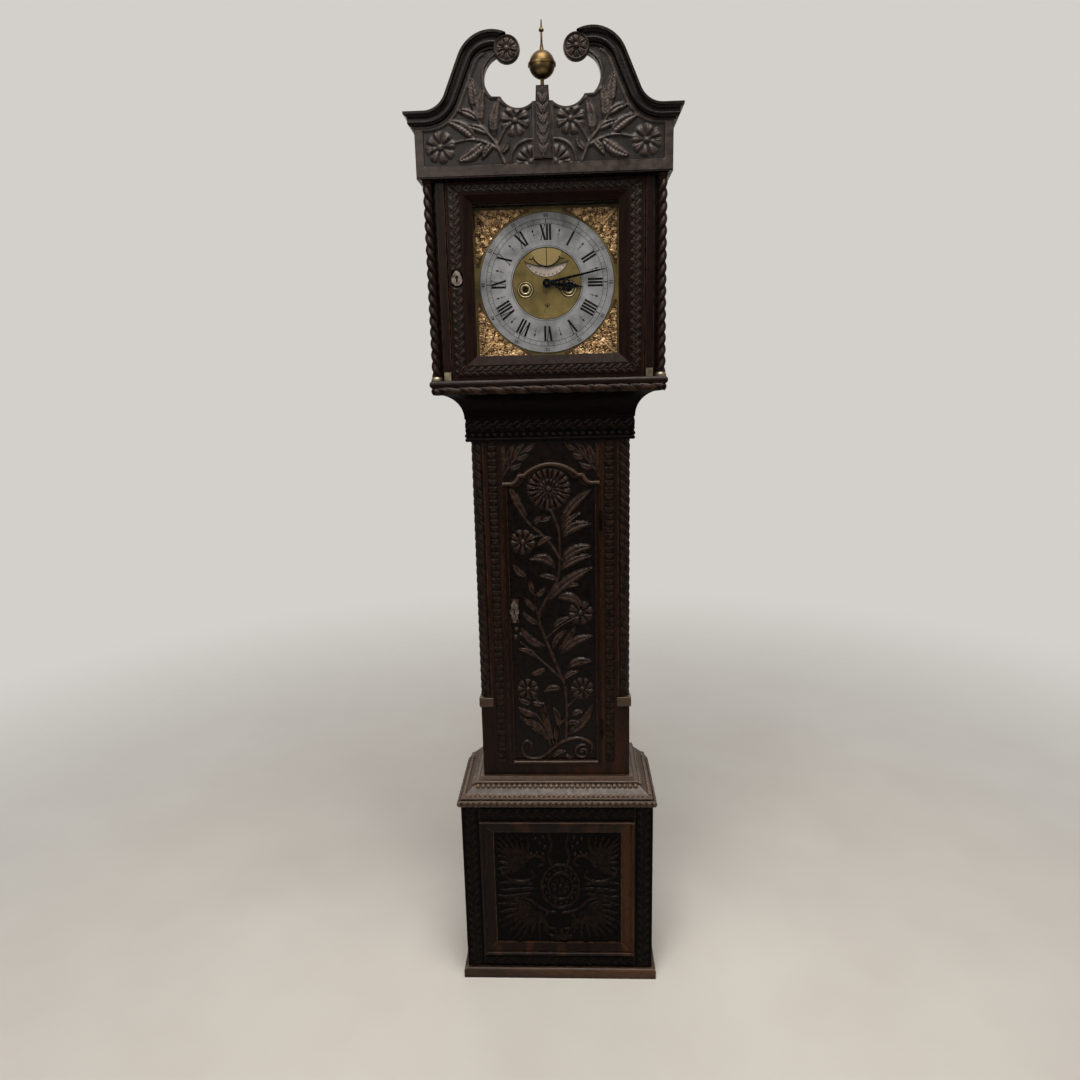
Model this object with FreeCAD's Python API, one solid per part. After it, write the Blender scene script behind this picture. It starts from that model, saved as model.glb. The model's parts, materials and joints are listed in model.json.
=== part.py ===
# Longcase clock, one STEP file for each node. Millimetres, +Z up, the front faces -Y.
# The origin lies on the floor under the middle of the overall box.

import FreeCAD
import Part
import math
import os

V = FreeCAD.Vector

# Overall depth and common boards
case_depth = 178.0           # trunk front to the back of the backboard
pediment_reach = 64.0        # pediment board in front of the trunk
cornice_reach = 18.0         # cornice beyond the pediment board, front and sides
back_thickness = 12.0        # backboard
side_thickness = 14.0        # side boards of base, trunk and hood
fit_play = 0.1               # play of a panel or a set-in piece
running_play = 0.05          # radial clearance of a pin or an arbor in its hole
free_gap = 0.3               # clearance between pieces that move past each other

# Base
base_reach = 52.0            # base beyond the trunk, front and sides
base_height = 464.0
base_frame_thickness = 22.0
base_stile_width = 42.7
base_top_rail = 40.0
base_bottom_rail = 60.0
base_panel_thickness = 14.0
panel_tongue_depth = 6.0
panel_tongue_thickness = 6.0
panel_moulding_width = 31.0
panel_moulding_rise = 6.0    # bead of the panel moulding in front of the frame
panel_moulding_sink = 5.0    # inner edge of the panel moulding behind the frame
base_floor_height = 28.0
base_floor_thickness = 12.0
skirting_height = 26.0
skirting_reach = 9.5
base_moulding_height = 54.0
base_moulding_reach = 57.0
trunk_tuck = 40.0            # trunk boards run down into the base

# Trunk
trunk_half = 174.7
trunk_height = 809.0         # top of base moulding to the frieze
trunk_frame_thickness = 26.0
corner_foot_rise = 184.0     # foot of the carved corner column above the base moulding
corner_stop_height = 12.0
corner_stop_reach = 3.0
frieze_height = 41.0
frieze_reach = 10.0
frieze_bead_height = 8.0
throat_height = 68.0
throat_reach = 67.5
cheek_rise = 99.0            # top of the cheeks above the foot of the hood
seat_thickness = 18.0
seat_front_depth = 24.0      # seatboard front behind the trunk front
seat_length = 88.0           # seatboard front to back

# Trunk door
trunk_stile_width = 65.7     # door edge to the side of the trunk
door_foot_rise = 29.0        # door foot above the base moulding
door_shoulder_rise = 711.0   # door shoulders above the base moulding
door_step_rise = 18.0
door_arch_rise = 43.0
door_thickness = 20.0
door_proud = 2.0             # door face in front of the trunk face
door_gap = 1.0
door_border = 11.0
door_field_sink = 5.0
door_hinge_height = 46.0
door_hinge_inset = 90.0      # hinge from the foot and from the shoulders of the door
hinge_knuckle_radius = 2.6
hinge_pin_radius = 1.2
hinge_leaf_thickness = 1.0
hinge_leaf_width = 14.0
hinge_axis_reach = 5.0       # hinge axis in front of the trunk face
lock_width = 30.0
lock_height = 48.0
lock_thickness = 10.0
lock_edge = 4.0              # lock case from the edge of the door
lock_rise = 411.0            # lock middle above the base moulding
bolt_height = 10.0
bolt_thickness = 6.0
bolt_length = 24.0
bolt_throw = 9.0
door_escutcheon_inset = 20.0
escutcheon_radius = 10.5      # middle of the trunk door plate
escutcheon_lobe_radius = 7.5
escutcheon_lobe_rise = 14.0
escutcheon_tip_radius = 3.5
escutcheon_tip_rise = 23.0
hood_escutcheon_radius = 11.0
escutcheon_thickness = 1.5
keyhole_radius = 2.2
keyhole_width = 2.4
keyhole_drop = 6.5

# Hood
hood_side_reach = 44.3       # hood side beyond the trunk side
hood_reach = 45.0            # hood uprights in front of the trunk
hood_bar_height = 15.0
hood_bar_reach = 23.0
hood_bar_side_reach = 28.0   # bar beyond the hood side
column_height = 388.5        # hood floor to the head of the columns
upright_width = 17.0
upright_thickness = 18.0
mask_thickness = 8.0
mask_half = 152.0
column_stand = 14.5          # column axis outside the hood side
column_reach = 50.0          # column axis in front of the trunk
column_strands = 3
column_lobe_radius = 5.4
column_lobe_offset = 4.6
column_lead = 48.0
column_mount_radius = 11.5
column_mount_height = 8.0
upright_foot_width = 14.0
upright_foot_height = 17.0
upright_foot_thickness = 4.0
top_frame_height = 3.0
pediment_overhang = 33.0     # pediment beyond the hood side
pediment_thickness = 16.0
pediment_band_height = 117.5
roof_thickness = 12.0
roof_drop = 14.0             # underside of the roof board below the cornice
cornice_drop = 28.0

# Rosettes, plinth and finial
plinth_seat_half = 19.0
plinth_seat_rise = 15.0
rosette_radius = 25.0
rosette_reach = 17.0
plinth_top_half = 12.0
plinth_foot_half = 18.5
plinth_rise = 39.0
plinth_foot_drop = 90.0
plinth_reach = 10.0
plinth_seat_depth = 18.0
finial_height = 119.0
finial_ball_radius = 25.0
finial_ball_rise = 41.0
finial_foot_radius = 6.0
finial_flange_radius = 27.0
finial_flange_height = 4.0
spire_foot_radius = 4.5
spire_rod_radius = 2.0
spire_knob_radius = 5.0
spire_tip_radius = 1.0

# Hood door
hood_door_side_gap = 2.0
hood_door_gap = 1.0
hood_door_thickness = 18.0
hood_door_proud = 1.0
hood_door_side_width = 52.0
hood_door_head_width = 38.5
hood_door_foot_width = 48.0
hood_door_bevel = 11.0
glass_thickness = 2.5
glass_lap = 6.0
glass_seat_depth = 3.0
hood_pin_radius = 2.0
hood_pin_length = 8.0        # pin into bar and top frame
hood_pin_grip = 14.0         # pin into the door
hood_pin_inset = 3.0         # pin axis from the edge and from the face of the door
hood_escutcheon_inset = 17.0
hood_escutcheon_rise = 6.0

# Dial and hands
dial_rise = 195.0            # dial centre above the hood floor
dial_half = 152.5
dial_depth = 3.0             # dial face behind the trunk front
dial_thickness = 2.5
dial_hole_radius = 7.0
winding_hole_radius = 6.0
chapter_outer_radius = 141.5
chapter_inner_radius = 73.0
chapter_thickness = 2.0
crescent_half = 46.0
crescent_horn_rise = 45.5
crescent_foot_rise = 13.5
crescent_lip_rise = 34.5
calendar_radius = 51.5
calendar_thickness = 1.0
calendar_gap = 1.0
calendar_stud_radius = 2.0
calendar_stud_length = 4.0
spandrel_edge = 4.5          # spandrel from the dial edge
spandrel_leg_half = 70.0     # where a spandrel's legs start
spandrel_gap = 3.5           # spandrel from the chapter ring
spandrel_thickness = 3.0
dial_foot_half = 60.0
dial_foot_rise = 70.0
dial_foot_radius = 4.0
hand_thickness = 1.5
hand_hub_radius = 9.0
hand_root_half = 3.5
hour_hand_length = 78.0
hour_hand_neck_half = 2.5
hour_hand_swell_half = 6.0
minute_hand_length = 128.0
minute_hand_tip_half = 1.6
hour_hand_clear = 5.0        # hour hand in front of the dial
minute_hand_clear = 11.0
hour_angle = 96.5            # degrees clockwise from twelve, as the hands stand
minute_angle = 78.0

# Movement
plate_depth = 30.0           # front plate behind the trunk front
plate_thickness = 3.0
plate_spacing = 60.0
plate_half = 72.0
plate_rise = 189.0
pillar_radius = 5.0
pillar_half = 66.0           # upper pillars
low_pillar_half = 48.0
pillar_inset = 10.0
barrel_half = 45.5
barrel_drop = 11.3
drum_radius = 19.0
drum_length = 34.0
barrel_arbor_radius = 4.0
drum_depth = 9.0             # drum behind the front plate
wheel_thickness = 3.0
pinion_length = 7.0
pinion_overlap = 2.0         # how far a pinion runs past its wheel
arbor_radius = 1.5
centre_arbor_radius = 2.5
cannon_radius = 4.0
hour_pipe_radius = 5.5
great_depth = 45.0
strike_great_depth = 51.0
strike_great_radius = 36.0
centre_depth = 33.0
third_depth = 17.0
escape_depth = 27.0
escape_rise = 46.0
centre_to_third = 27.2
third_to_escape = 23.6
escape_radius = 20.0
escape_tooth_depth = 5.0
pallet_rise = 30.0           # pallet arbor above the escape arbor
pallet_arm_width = 4.0
pallet_arm_length = 21.0
pallet_arm_stand = 24.0      # middle line of a pallet arm from the escape arbor
wheel_rim_width = 4.0
wheel_hub_radius = 6.0
wheel_spoke_width = 4.0
motion_distance = 28.8       # minute wheel below the centre
motion_wheel_depth = 3.5     # cannon wheel in front of the front plate
motion_wheel_thickness = 2.0
motion_step = 3.0            # hour wheel in front of the cannon wheel
motion_play = 0.6
bell_radius = 46.0
bell_height = 36.0
bell_wall = 2.5
bell_flat_radius = 3.0       # flat at the crown, under the stand
bell_lift = 28.0             # bell rim above the plates
bell_post_half = 30.0
bell_post_width = 8.0
bell_post_grip = 40.0
bell_post_thickness = 3.0
hammer_half = 50.0
hammer_drop = 42.0           # hammer arbor below the top of the plates
hammer_arm_width = 4.0
hammer_head_length = 12.0
hammer_head_size = 10.0
hammer_gap = 1.5
hammer_arbor_radius = 2.0
cock_half = 8.0
cock_thickness = 6.0
cock_drop = 2.0
cock_chop_half = 6.0
cock_chop_depth = 8.0

# Pendulum, weights and lines
pendulum_depth = 128.0       # swinging plane behind the trunk front
pendulum_length = 994.0      # pivot to the middle of the bob
pendulum_rod_radius = 3.0
pendulum_rod_tail = 88.0
suspension_length = 24.0
suspension_width = 8.0
suspension_thickness = 1.0
bob_radius = 55.0
bob_half_thickness = 16.0
bob_rim_half = 2.0
rating_nut_radius = 9.0
rating_nut_height = 8.0
rating_nut_gap = 1.0
crutch_length = 110.0
crutch_radius = 1.5
crutch_prong_gap = 0.6
crutch_gap = 4.0             # crutch wire in front of the pendulum rod
weight_radius = 30.0
weight_length = 215.0
weight_dome = 14.0
weight_floor_gap = 30.0      # run-down weight above the base floor
weight_neck_radius = 3.5
weight_neck_length = 24.0
pulley_radius = 17.0
pulley_thickness = 7.0
pulley_groove_depth = 1.6
stirrup_thickness = 1.5
stirrup_width = 10.0
stirrup_gap = 1.0
line_radius = 1.0
line_gap = 0.3

# Shares of a height, a reach or a tooth pitch
skirting_shares = [(0, 0), (1, 0), (1, 0.62), (0.9, 0.86, 0.3, 1), (0, 1)]
base_moulding_shares = [(0, 0), (0.93, 0), (1.0, 0.13, 0.92, 0.26), (0.88, 0.26), (0.92, 0.33, 0.88, 0.40),
                        (0.76, 0.42), (0.36, 0.72), (0.385, 0.80, 0.33, 0.88), (0.20, 0.90), (0.14, 1),
                        (0, 1)]
frieze_shares = [(0, 0), (0.8, 0), (1.0, 0.5, 0.8, 1), (0, 1)]
frieze_board_share = 0.8     # frieze board against the reach of its bead
throat_shares = [(0, 0), (0.15, 0), (0.15, 0.04), (0.375, 0.575, 0.92, 0.81), (0.95, 0.81),
                 (1.0, 0.905, 0.95, 1), (0, 1)]
cornice_shares = [(0, 0), (1, 0), (1, 0.16), (0.86, 0.20, 0.60, 0.50), (0.60, 0.58), (0.52, 0.80, 0.22, 0.86),
                  (0.22, 1), (0, 1)]
hood_bar_nose_share = 0.82
top_frame_foot_share = 0.67
top_frame_lip_share = 0.83
panel_bead_share = 0.25
panel_slope_share = 0.36
round_share = 0.707          # middle of a quarter round
door_shoulder_share = 0.862  # inner end of a shoulder, of half the door's width
door_step_share = 0.66
door_arch_share = 0.55
crown_end_degrees = 60.0
hinge_middle_share = 1 / 6   # half of the middle knuckle, of the hinge height
column_steps_per_turn = 16
wheel_root_share = 0.25
wheel_tip_share = 0.09
wheel_tip_rise_share = 0.9   # of the module
wheel_root_fall_share = 1.2
pinion_tip_rise_share = 0.6
pinion_root_fall_share = 1.3
pinion_root_share = 0.20
pinion_tip_share = 0.10
finial_shares = [(0, 0), (1, 0), (1, 0.02), (0.6, 0.05), (0.6, 0.12)]
hood_door_band_share = 0.615
drop_plate_shares = [(-1, 0), (0, -1, 1, 0), (0.68, 1.05, 0.14, 1.72), (-0.14, 1.72), (-0.68, 1.05, -1, 0)]
rosette_shares = [(0, 0), (1, 0), (1, 0.5), (0.97, 0.62), (0.865, 0.78, 0.76, 0.62), (0.62, 0.5),
                  (0.42, 0.58), (0.28, 0.857, 0.06, 1), (0, 1)]
spire_flare_share = 0.25     # of the spire's height
spire_knob_foot_share = 0.60
spire_knob_share = 0.66
spire_knob_head_share = 0.72
hand_neck_share = 0.48
hand_swell_share = 0.62
minute_neck_share = 0.86

# Swan neck, in shares of half the pediment's width, from the middle and from the cornice
neck_hollow_place_share = 0.9127
neck_hollow_radius_share = 0.1825
neck_crown_place_share = 0.377
neck_crown_rise_share = 0.2579
neck_crown_radius_share = 0.2778
neck_end_place_share = 0.3056
scoop_place_share = 0.2778
scoop_rise_share = 0.2262
scoop_radius_share = 0.1667
scoop_foot_place_share = 0.3889
cusp_place_share = 0.3214
cusp_rise_share = 0.0992
dip_place_share = 0.1984
dip_rise_share = 0.0159
rosette_place_share = 0.2619
rosette_rise_share = 0.4127

# Teeth
great_teeth = 96
strike_great_teeth = 84
centre_pinion_leaves = 8
centre_teeth = 60
third_pinion_leaves = 8
third_teeth = 56
escape_pinion_leaves = 7
escape_teeth = 30
cannon_teeth = 36
minute_wheel_teeth = 36
minute_pinion_leaves = 6
hour_teeth = 72

# Widths that follow
base_half = trunk_half + base_reach
base_panel_half = base_half - base_stile_width
door_half = trunk_half - trunk_stile_width
door_escutcheon_half = door_half - door_escutcheon_inset
hood_half = trunk_half + hood_side_reach
upright_inner_half = hood_half - upright_width
hood_door_half = upright_inner_half - hood_door_side_gap
hood_escutcheon_half = hood_door_half - hood_escutcheon_inset
hood_sight_half = hood_door_half - hood_door_side_width
column_half = hood_half + column_stand
pediment_half = hood_half + pediment_overhang
neck_hollow_half = pediment_half * neck_hollow_place_share
neck_hollow_radius = pediment_half * neck_hollow_radius_share
neck_crown_half = pediment_half * neck_crown_place_share
neck_crown_rise = pediment_half * neck_crown_rise_share
neck_crown_radius = pediment_half * neck_crown_radius_share
neck_end_half = pediment_half * neck_end_place_share
scoop_half = pediment_half * scoop_place_share
scoop_rise = pediment_half * scoop_rise_share
scoop_radius = pediment_half * scoop_radius_share
scoop_foot_half = pediment_half * scoop_foot_place_share
cusp_half = pediment_half * cusp_place_share
cusp_rise = pediment_half * cusp_rise_share
dip_half = pediment_half * dip_place_share
dip_rise = pediment_half * dip_rise_share
rosette_half = pediment_half * rosette_place_share
rosette_rise = pediment_half * rosette_rise_share

# Levels that follow
overall_depth = case_depth + pediment_reach + cornice_reach
back_y = overall_depth / 2
trunk_y = back_y - case_depth
back_face_y = back_y - back_thickness
base_y = trunk_y - base_reach
trunk_foot_z = base_height + base_moulding_height
frieze_z = trunk_foot_z + trunk_height
throat_z = frieze_z + frieze_height
hood_foot_z = throat_z + throat_height
hood_floor_z = hood_foot_z + hood_bar_height
hood_head_z = hood_floor_z + column_height
pediment_z = hood_head_z + top_frame_height
cornice_z = pediment_z + pediment_band_height
cheek_top_z = hood_foot_z + cheek_rise
seat_top_z = cheek_top_z + seat_thickness
dial_z = hood_floor_z + dial_rise
hood_y = trunk_y - hood_reach
hood_inner_half = hood_half - side_thickness
mask_y = hood_y + upright_thickness
pediment_y = trunk_y - pediment_reach
pediment_back_y = pediment_y + pediment_thickness
hood_door_y = hood_y - hood_door_proud
hood_door_foot_z = hood_floor_z + hood_door_gap
hood_door_head_z = hood_head_z - hood_door_gap
hood_sight_foot_z = hood_door_foot_z + hood_door_foot_width
hood_sight_head_z = hood_door_head_z - hood_door_head_width
dial_y = trunk_y + dial_depth
plate_y = trunk_y + plate_depth
plate_back_y = plate_y + plate_thickness
rear_plate_y = plate_back_y + plate_spacing
rear_plate_back_y = rear_plate_y + plate_thickness
plate_top_z = seat_top_z + plate_rise
barrel_z = dial_z - barrel_drop
escape_z = dial_z + escape_rise
pallet_z = escape_z + pallet_rise
pendulum_y = trunk_y + pendulum_depth
drum_y = plate_back_y + drum_depth
line_y = drum_y + drum_length / 2


# Drawing helpers
def box(x0, x1, y0, y1, z0, z1):
    return Part.makeBox(x1 - x0, y1 - y0, z1 - z0, V(x0, y0, z0))


def both_sides(shape):
    """The piece and its mirror image on the other side of the middle."""
    return [shape, shape.mirror(V(0, 0, 0), V(1, 0, 0))]


def wire(points, place):
    """Closed outline. A pair is a line to that point, four numbers an arc through one point to another."""
    here = points[0]
    edges = []
    for step in points[1:] + [points[0]]:
        end = step[-2:]
        if len(step) == 4:
            edges.append(Part.Arc(place(*here), place(*step[:2]), place(*end)).toShape())
        elif end != here:
            edges.append(Part.makeLine(place(*here), place(*end)))
        here = end
    return Part.Wire(edges)


def shaped(shares, width, height, across=0, up=0):
    """An outline given in shares of a width and a height, set at a place."""
    return [tuple(across + width * value if place % 2 == 0 else up + height * value
                  for place, value in enumerate(step)) for step in shares]


def front_prism(points, y0, y1):
    """Outline drawn in the front view as x, z, made solid from y0 back to y1."""
    return Part.Face(wire(points, lambda x, z: V(x, y0, z))).extrude(V(0, y1 - y0, 0))


def plan_prism(points, z0, z1):
    """Outline drawn from above as x, y, made solid from z0 up to z1."""
    return Part.Face(wire(points, lambda x, y: V(x, y, z0))).extrude(V(0, 0, z1 - z0))


def turned(points, x, y):
    """Outline of radius, z turned about the upright line at x, y."""
    return Part.Face(wire(points, lambda r, z: V(x + r, y, z))).revolve(V(x, y, 0), V(0, 0, 1), 360)


def turned_level(points, x, z):
    """Outline of radius, y turned about the front-to-back line at x, z."""
    return Part.Face(wire(points, lambda r, y: V(x + r, y, z))).revolve(V(x, 0, z), V(0, 1, 0), 360)


def rod(radius, x, z, y0, y1):
    """Round bar from front to back."""
    return Part.makeCylinder(radius, y1 - y0, V(x, y0, z), V(0, 1, 0))


def pole(radius, x, y, z0, z1):
    """Upright round bar."""
    return Part.makeCylinder(radius, z1 - z0, V(x, y, z0))


def clock_turn(shape, degrees):
    """Turned clockwise about the dial centre, as seen from the front."""
    turned_shape = shape.copy()
    turned_shape.rotate(V(0, 0, dial_z), V(0, 1, 0), degrees)
    return turned_shape


def spans(points):
    """Smallest and largest first and second value of an outline."""
    first = [value for step in points for value in step[0::2]]
    second = [value for step in points for value in step[1::2]]
    return min(first), max(first), min(second), max(second)


def moulding(points, half, front):
    """Front run and two side returns with mitred corners. The outline is reach, z beyond the faces."""
    inner, outer, low, high = spans(points)
    wide = half + outer
    front_face = Part.Face(wire(points, lambda out, z: V(-wide, front - out, z)))
    front_plan = [(-wide, front - outer), (wide, front - outer), (half + inner, front - inner),
                  (-half - inner, front - inner)]
    front_run = front_face.extrude(V(2 * wide, 0, 0)).common(plan_prism(front_plan, low, high))
    side_face = Part.Face(wire(points, lambda out, z: V(half + out, front - outer, z)))
    side_plan = [(wide, front - outer), (wide, back_y), (half + inner, back_y), (half + inner, front - inner)]
    side_run = side_face.extrude(V(0, back_y - front + outer, 0)).common(plan_prism(side_plan, low, high))
    return [front_run] + both_sides(side_run)


def mitred_frame(points, half, low, high):
    """Two uprights and two rails with mitred corners. The outline is given as inward distance, y."""
    inner, width, near, far = spans(points)
    upright_face = Part.Face(wire(points, lambda inward, y: V(inward - half, y, low)))
    upright_view = [(-half, low), (-half, high), (width - half, high - width), (width - half, low + width)]
    upright = upright_face.extrude(V(0, 0, high - low)).common(front_prism(upright_view, near, far))
    rail_face = Part.Face(wire(points, lambda inward, y: V(-half, y, low + inward)))
    rail_view = [(-half, low), (half, low), (half - width, low + width), (width - half, low + width)]
    rail = rail_face.extrude(V(2 * half, 0, 0)).common(front_prism(rail_view, near, far))
    top_rail = rail.mirror(V(0, 0, (low + high) / 2), V(0, 0, 1))
    return both_sides(upright) + [rail, top_rail]


# Teeth and wheels
def toothed(teeth, tip_radius, root_radius, root_share, tip_share, phase, x, z, y0, y1):
    """Straight-flanked teeth, one of them pointing along phase (radians from the right)."""
    pitch = 2 * math.pi / teeth
    points = []
    for tooth in range(teeth):
        middle = phase + tooth * pitch
        corners = ((-root_share, root_radius), (-tip_share, tip_radius), (tip_share, tip_radius),
                   (root_share, root_radius))
        for share, radius in corners:
            angle = middle + share * pitch
            points.append((x + radius * math.cos(angle), z + radius * math.sin(angle)))
    return front_prism(points, y0, y1)


def wheel(teeth, pitch_radius, phase, x, z, y0, thickness, crossed=True):
    """Brass wheel with four spokes."""
    module = 2 * pitch_radius / teeth
    root_radius = pitch_radius - wheel_root_fall_share * module
    blank = toothed(teeth, pitch_radius + wheel_tip_rise_share * module, root_radius, wheel_root_share,
                    wheel_tip_share, phase, x, z, y0, y0 + thickness)
    if not crossed:
        return blank
    rim = root_radius - wheel_rim_width
    windows = rod(rim, x, z, y0, y0 + thickness).cut(rod(wheel_hub_radius, x, z, y0, y0 + thickness))
    half_spoke = wheel_spoke_width / 2
    upright_spoke = box(x - half_spoke, x + half_spoke, y0, y0 + thickness, z - rim, z + rim)
    level_spoke = box(x - rim, x + rim, y0, y0 + thickness, z - half_spoke, z + half_spoke)
    return blank.cut(windows.cut(upright_spoke).cut(level_spoke))


def pinion(leaves, pitch_radius, phase, x, z, y0, y1):
    module = 2 * pitch_radius / leaves
    return toothed(leaves, pitch_radius + pinion_tip_rise_share * module,
                   pitch_radius - pinion_root_fall_share * module, pinion_root_share, pinion_tip_share,
                   phase, x, z, y0, y1)


def mesh_phase(driver_phase, driver_teeth, follower_teeth, direction):
    """Phase that sets a follower's gap on the driver's tooth, along the line from driver to follower."""
    pitch = 2 * math.pi / driver_teeth
    past = (driver_phase - direction) % pitch
    return direction + math.pi - (past + pitch / 2) * driver_teeth / follower_teeth


def split(distance, teeth, other_teeth):
    """Pitch radius of the first of two meshing wheels."""
    return distance * teeth / (teeth + other_teeth)


# Case back and base
def make_backboard():
    roof_foot_z = cornice_z - roof_drop
    plank = box(-trunk_half, trunk_half, back_face_y, back_y, 0, roof_foot_z)
    base_ear = box(trunk_half, base_half, back_face_y, back_y, 0, base_height)
    hood_ear = box(trunk_half, hood_inner_half - door_gap, back_face_y, back_y, hood_foot_z, roof_foot_z)
    top_ear = box(hood_inner_half - door_gap, pediment_half - side_thickness - door_gap, back_face_y, back_y,
                  pediment_z + door_gap, roof_foot_z)
    return [plank] + both_sides(base_ear) + both_sides(hood_ear) + both_sides(top_ear)


def base_panel_opening():
    return base_bottom_rail, base_height - base_top_rail


def make_base_frame():
    low, high = base_panel_opening()
    back = base_y + base_frame_thickness
    tongue_y = base_y + base_frame_thickness - base_panel_thickness
    groove = box(-base_panel_half - panel_tongue_depth, base_panel_half + panel_tongue_depth, tongue_y,
                 tongue_y + panel_tongue_thickness, low - panel_tongue_depth, high + panel_tongue_depth)
    stile = box(base_panel_half, base_half, base_y, back, 0, base_height).cut(groove)
    low_rail = box(-base_panel_half, base_panel_half, base_y, back, 0, low).cut(groove)
    high_rail = box(-base_panel_half, base_panel_half, base_y, back, high, base_height).cut(groove)
    return both_sides(stile) + [low_rail, high_rail]


def make_base_panel():
    low, high = base_panel_opening()
    face_y = base_y + base_frame_thickness - base_panel_thickness
    half = base_panel_half - fit_play
    board = box(-half, half, face_y, base_y + base_frame_thickness, low + fit_play, high - fit_play)
    edge = panel_tongue_depth - fit_play
    tongue = box(-base_panel_half - edge, base_panel_half + edge, face_y + fit_play,
                 face_y + panel_tongue_thickness - fit_play, low - edge, high + edge)
    inner_y = base_y + panel_moulding_sink
    bead = panel_moulding_width * panel_bead_share
    slope = panel_moulding_width * panel_slope_share
    profile = [(0, face_y), (0, base_y), (bead / 2, base_y - panel_moulding_rise, bead, base_y),
               (slope, base_y), (panel_moulding_width, inner_y), (panel_moulding_width, face_y)]
    strips = mitred_frame(profile, half, low + fit_play, high - fit_play)
    return [board.fuse(tongue).removeSplitter()] + strips


def make_base_sides():
    front = base_y + base_frame_thickness
    return both_sides(box(base_half - side_thickness, base_half, front, back_face_y, 0, base_height))


def make_base_floor():
    inside = base_half - side_thickness
    return [box(-inside, inside, base_y + base_frame_thickness, back_face_y, base_floor_height,
                base_floor_height + base_floor_thickness)]


def make_skirting():
    return moulding(shaped(skirting_shares, skirting_reach, skirting_height), base_half, base_y)


def make_base_moulding():
    profile = shaped(base_moulding_shares, base_moulding_reach, base_moulding_height, 0, base_height)
    return moulding(profile, trunk_half, trunk_y)


# Trunk
def door_outline(grow):
    """Break-arched outline of the trunk door, grown all round."""
    low = trunk_foot_z + door_foot_rise - grow
    shoulder = trunk_foot_z + door_shoulder_rise + grow
    step = shoulder + door_step_rise
    half = door_half + grow
    cove_x = door_half * door_shoulder_share + grow
    step_x = door_half * door_step_share + grow
    arch_x = door_half * door_arch_share + grow
    cove_middle_x = cove_x - (cove_x - step_x) * round_share
    cove_middle_z = step - door_step_rise * round_share
    return [(-half, low), (half, low), (half, shoulder), (cove_x, shoulder),
            (cove_middle_x, cove_middle_z, step_x, step), (arch_x, step),
            (0, shoulder + door_arch_rise, -arch_x, step), (-step_x, step),
            (-cove_middle_x, cove_middle_z, -cove_x, shoulder), (-half, shoulder)]


def corner_levels():
    foot = trunk_foot_z + corner_foot_rise
    return foot, foot + corner_stop_height, frieze_z - frieze_bead_height


def lock_level():
    return trunk_foot_z + lock_rise


def make_trunk_sides():
    side = box(trunk_half - side_thickness, trunk_half, trunk_y + trunk_frame_thickness, back_face_y,
               base_height - trunk_tuck, cheek_top_z)
    return both_sides(side)


def make_trunk_frame():
    back = trunk_y + trunk_frame_thickness
    low = base_height - trunk_tuck
    open_half = door_half + door_gap
    foot, stop, head = corner_levels()
    notch = box(trunk_half - trunk_frame_thickness, trunk_half, trunk_y, back, foot, head)
    stile = box(open_half, trunk_half, trunk_y, back, low, hood_foot_z).cut(notch)
    right_stile = stile
    for leaf in hinge_leaves(open_half, open_half + hinge_leaf_thickness):
        right_stile = right_stile.cut(leaf)
    left_stile = stile.mirror(V(0, 0, 0), V(1, 0, 0))
    bolt_y = trunk_y - door_proud + door_thickness
    mortice = box(-open_half - bolt_throw - door_gap, -open_half, bolt_y, back,
                  lock_level() - bolt_height / 2 - free_gap, lock_level() + bolt_height / 2 + free_gap)
    opening = front_prism(door_outline(door_gap), trunk_y, back)
    low_rail = box(-open_half, open_half, trunk_y, back, low, trunk_foot_z + door_foot_rise - door_gap)
    high_rail = box(-open_half, open_half, trunk_y, back, trunk_foot_z + door_shoulder_rise, hood_foot_z)
    return [left_stile.cut(mortice), right_stile, low_rail, high_rail.cut(opening)]


def make_corner_columns():
    foot, stop, head = corner_levels()
    radius = trunk_frame_thickness
    x = trunk_half - radius
    y = trunk_y + radius
    column = pole(radius, x, y, stop, head).common(box(x, trunk_half, trunk_y, y, stop, head))
    ledge = box(x, trunk_half + corner_stop_reach, trunk_y - corner_stop_reach, y, foot, stop)
    return both_sides(column) + both_sides(ledge)


def make_frieze():
    bead_z = frieze_z - frieze_bead_height
    board = frieze_reach * frieze_board_share
    profile = shaped(frieze_shares, frieze_reach, frieze_bead_height, 0, bead_z)
    profile = profile[:-1] + [(board, throat_z), (0, throat_z)]
    return moulding(profile, trunk_half, trunk_y)


def make_throat_moulding():
    return moulding(shaped(throat_shares, throat_reach, throat_height, 0, throat_z), trunk_half, trunk_y)


def line_places():
    """Where the two strands of a line hang, and the middle of its weight."""
    near = barrel_half + drum_radius + line_gap + line_radius
    return near, near + pulley_radius, near + 2 * pulley_radius


def make_seatboard():
    front = trunk_y + seat_front_depth
    near, middle, far = line_places()
    hole = line_radius + free_gap
    board = box(-trunk_half, trunk_half, front, front + seat_length, cheek_top_z, seat_top_z)
    for x in (-far, -near, near, far):
        board = board.cut(pole(hole, x, line_y, cheek_top_z, seat_top_z))
    return [board]


# Trunk door
def hinge_middles():
    low = trunk_foot_z + door_foot_rise + door_hinge_inset
    high = trunk_foot_z + door_shoulder_rise - door_hinge_inset
    return low, high


def hinge_leaves(x0, x1):
    """Leaf plates of both hinges between two x values."""
    front = trunk_y - hinge_axis_reach
    back = trunk_y + hinge_leaf_width
    half = door_hinge_height / 2
    return [box(x0, x1, front, back, middle - half, middle + half) for middle in hinge_middles()]


def hinge_axis():
    return door_half + door_gap / 2, trunk_y - hinge_axis_reach


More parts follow.
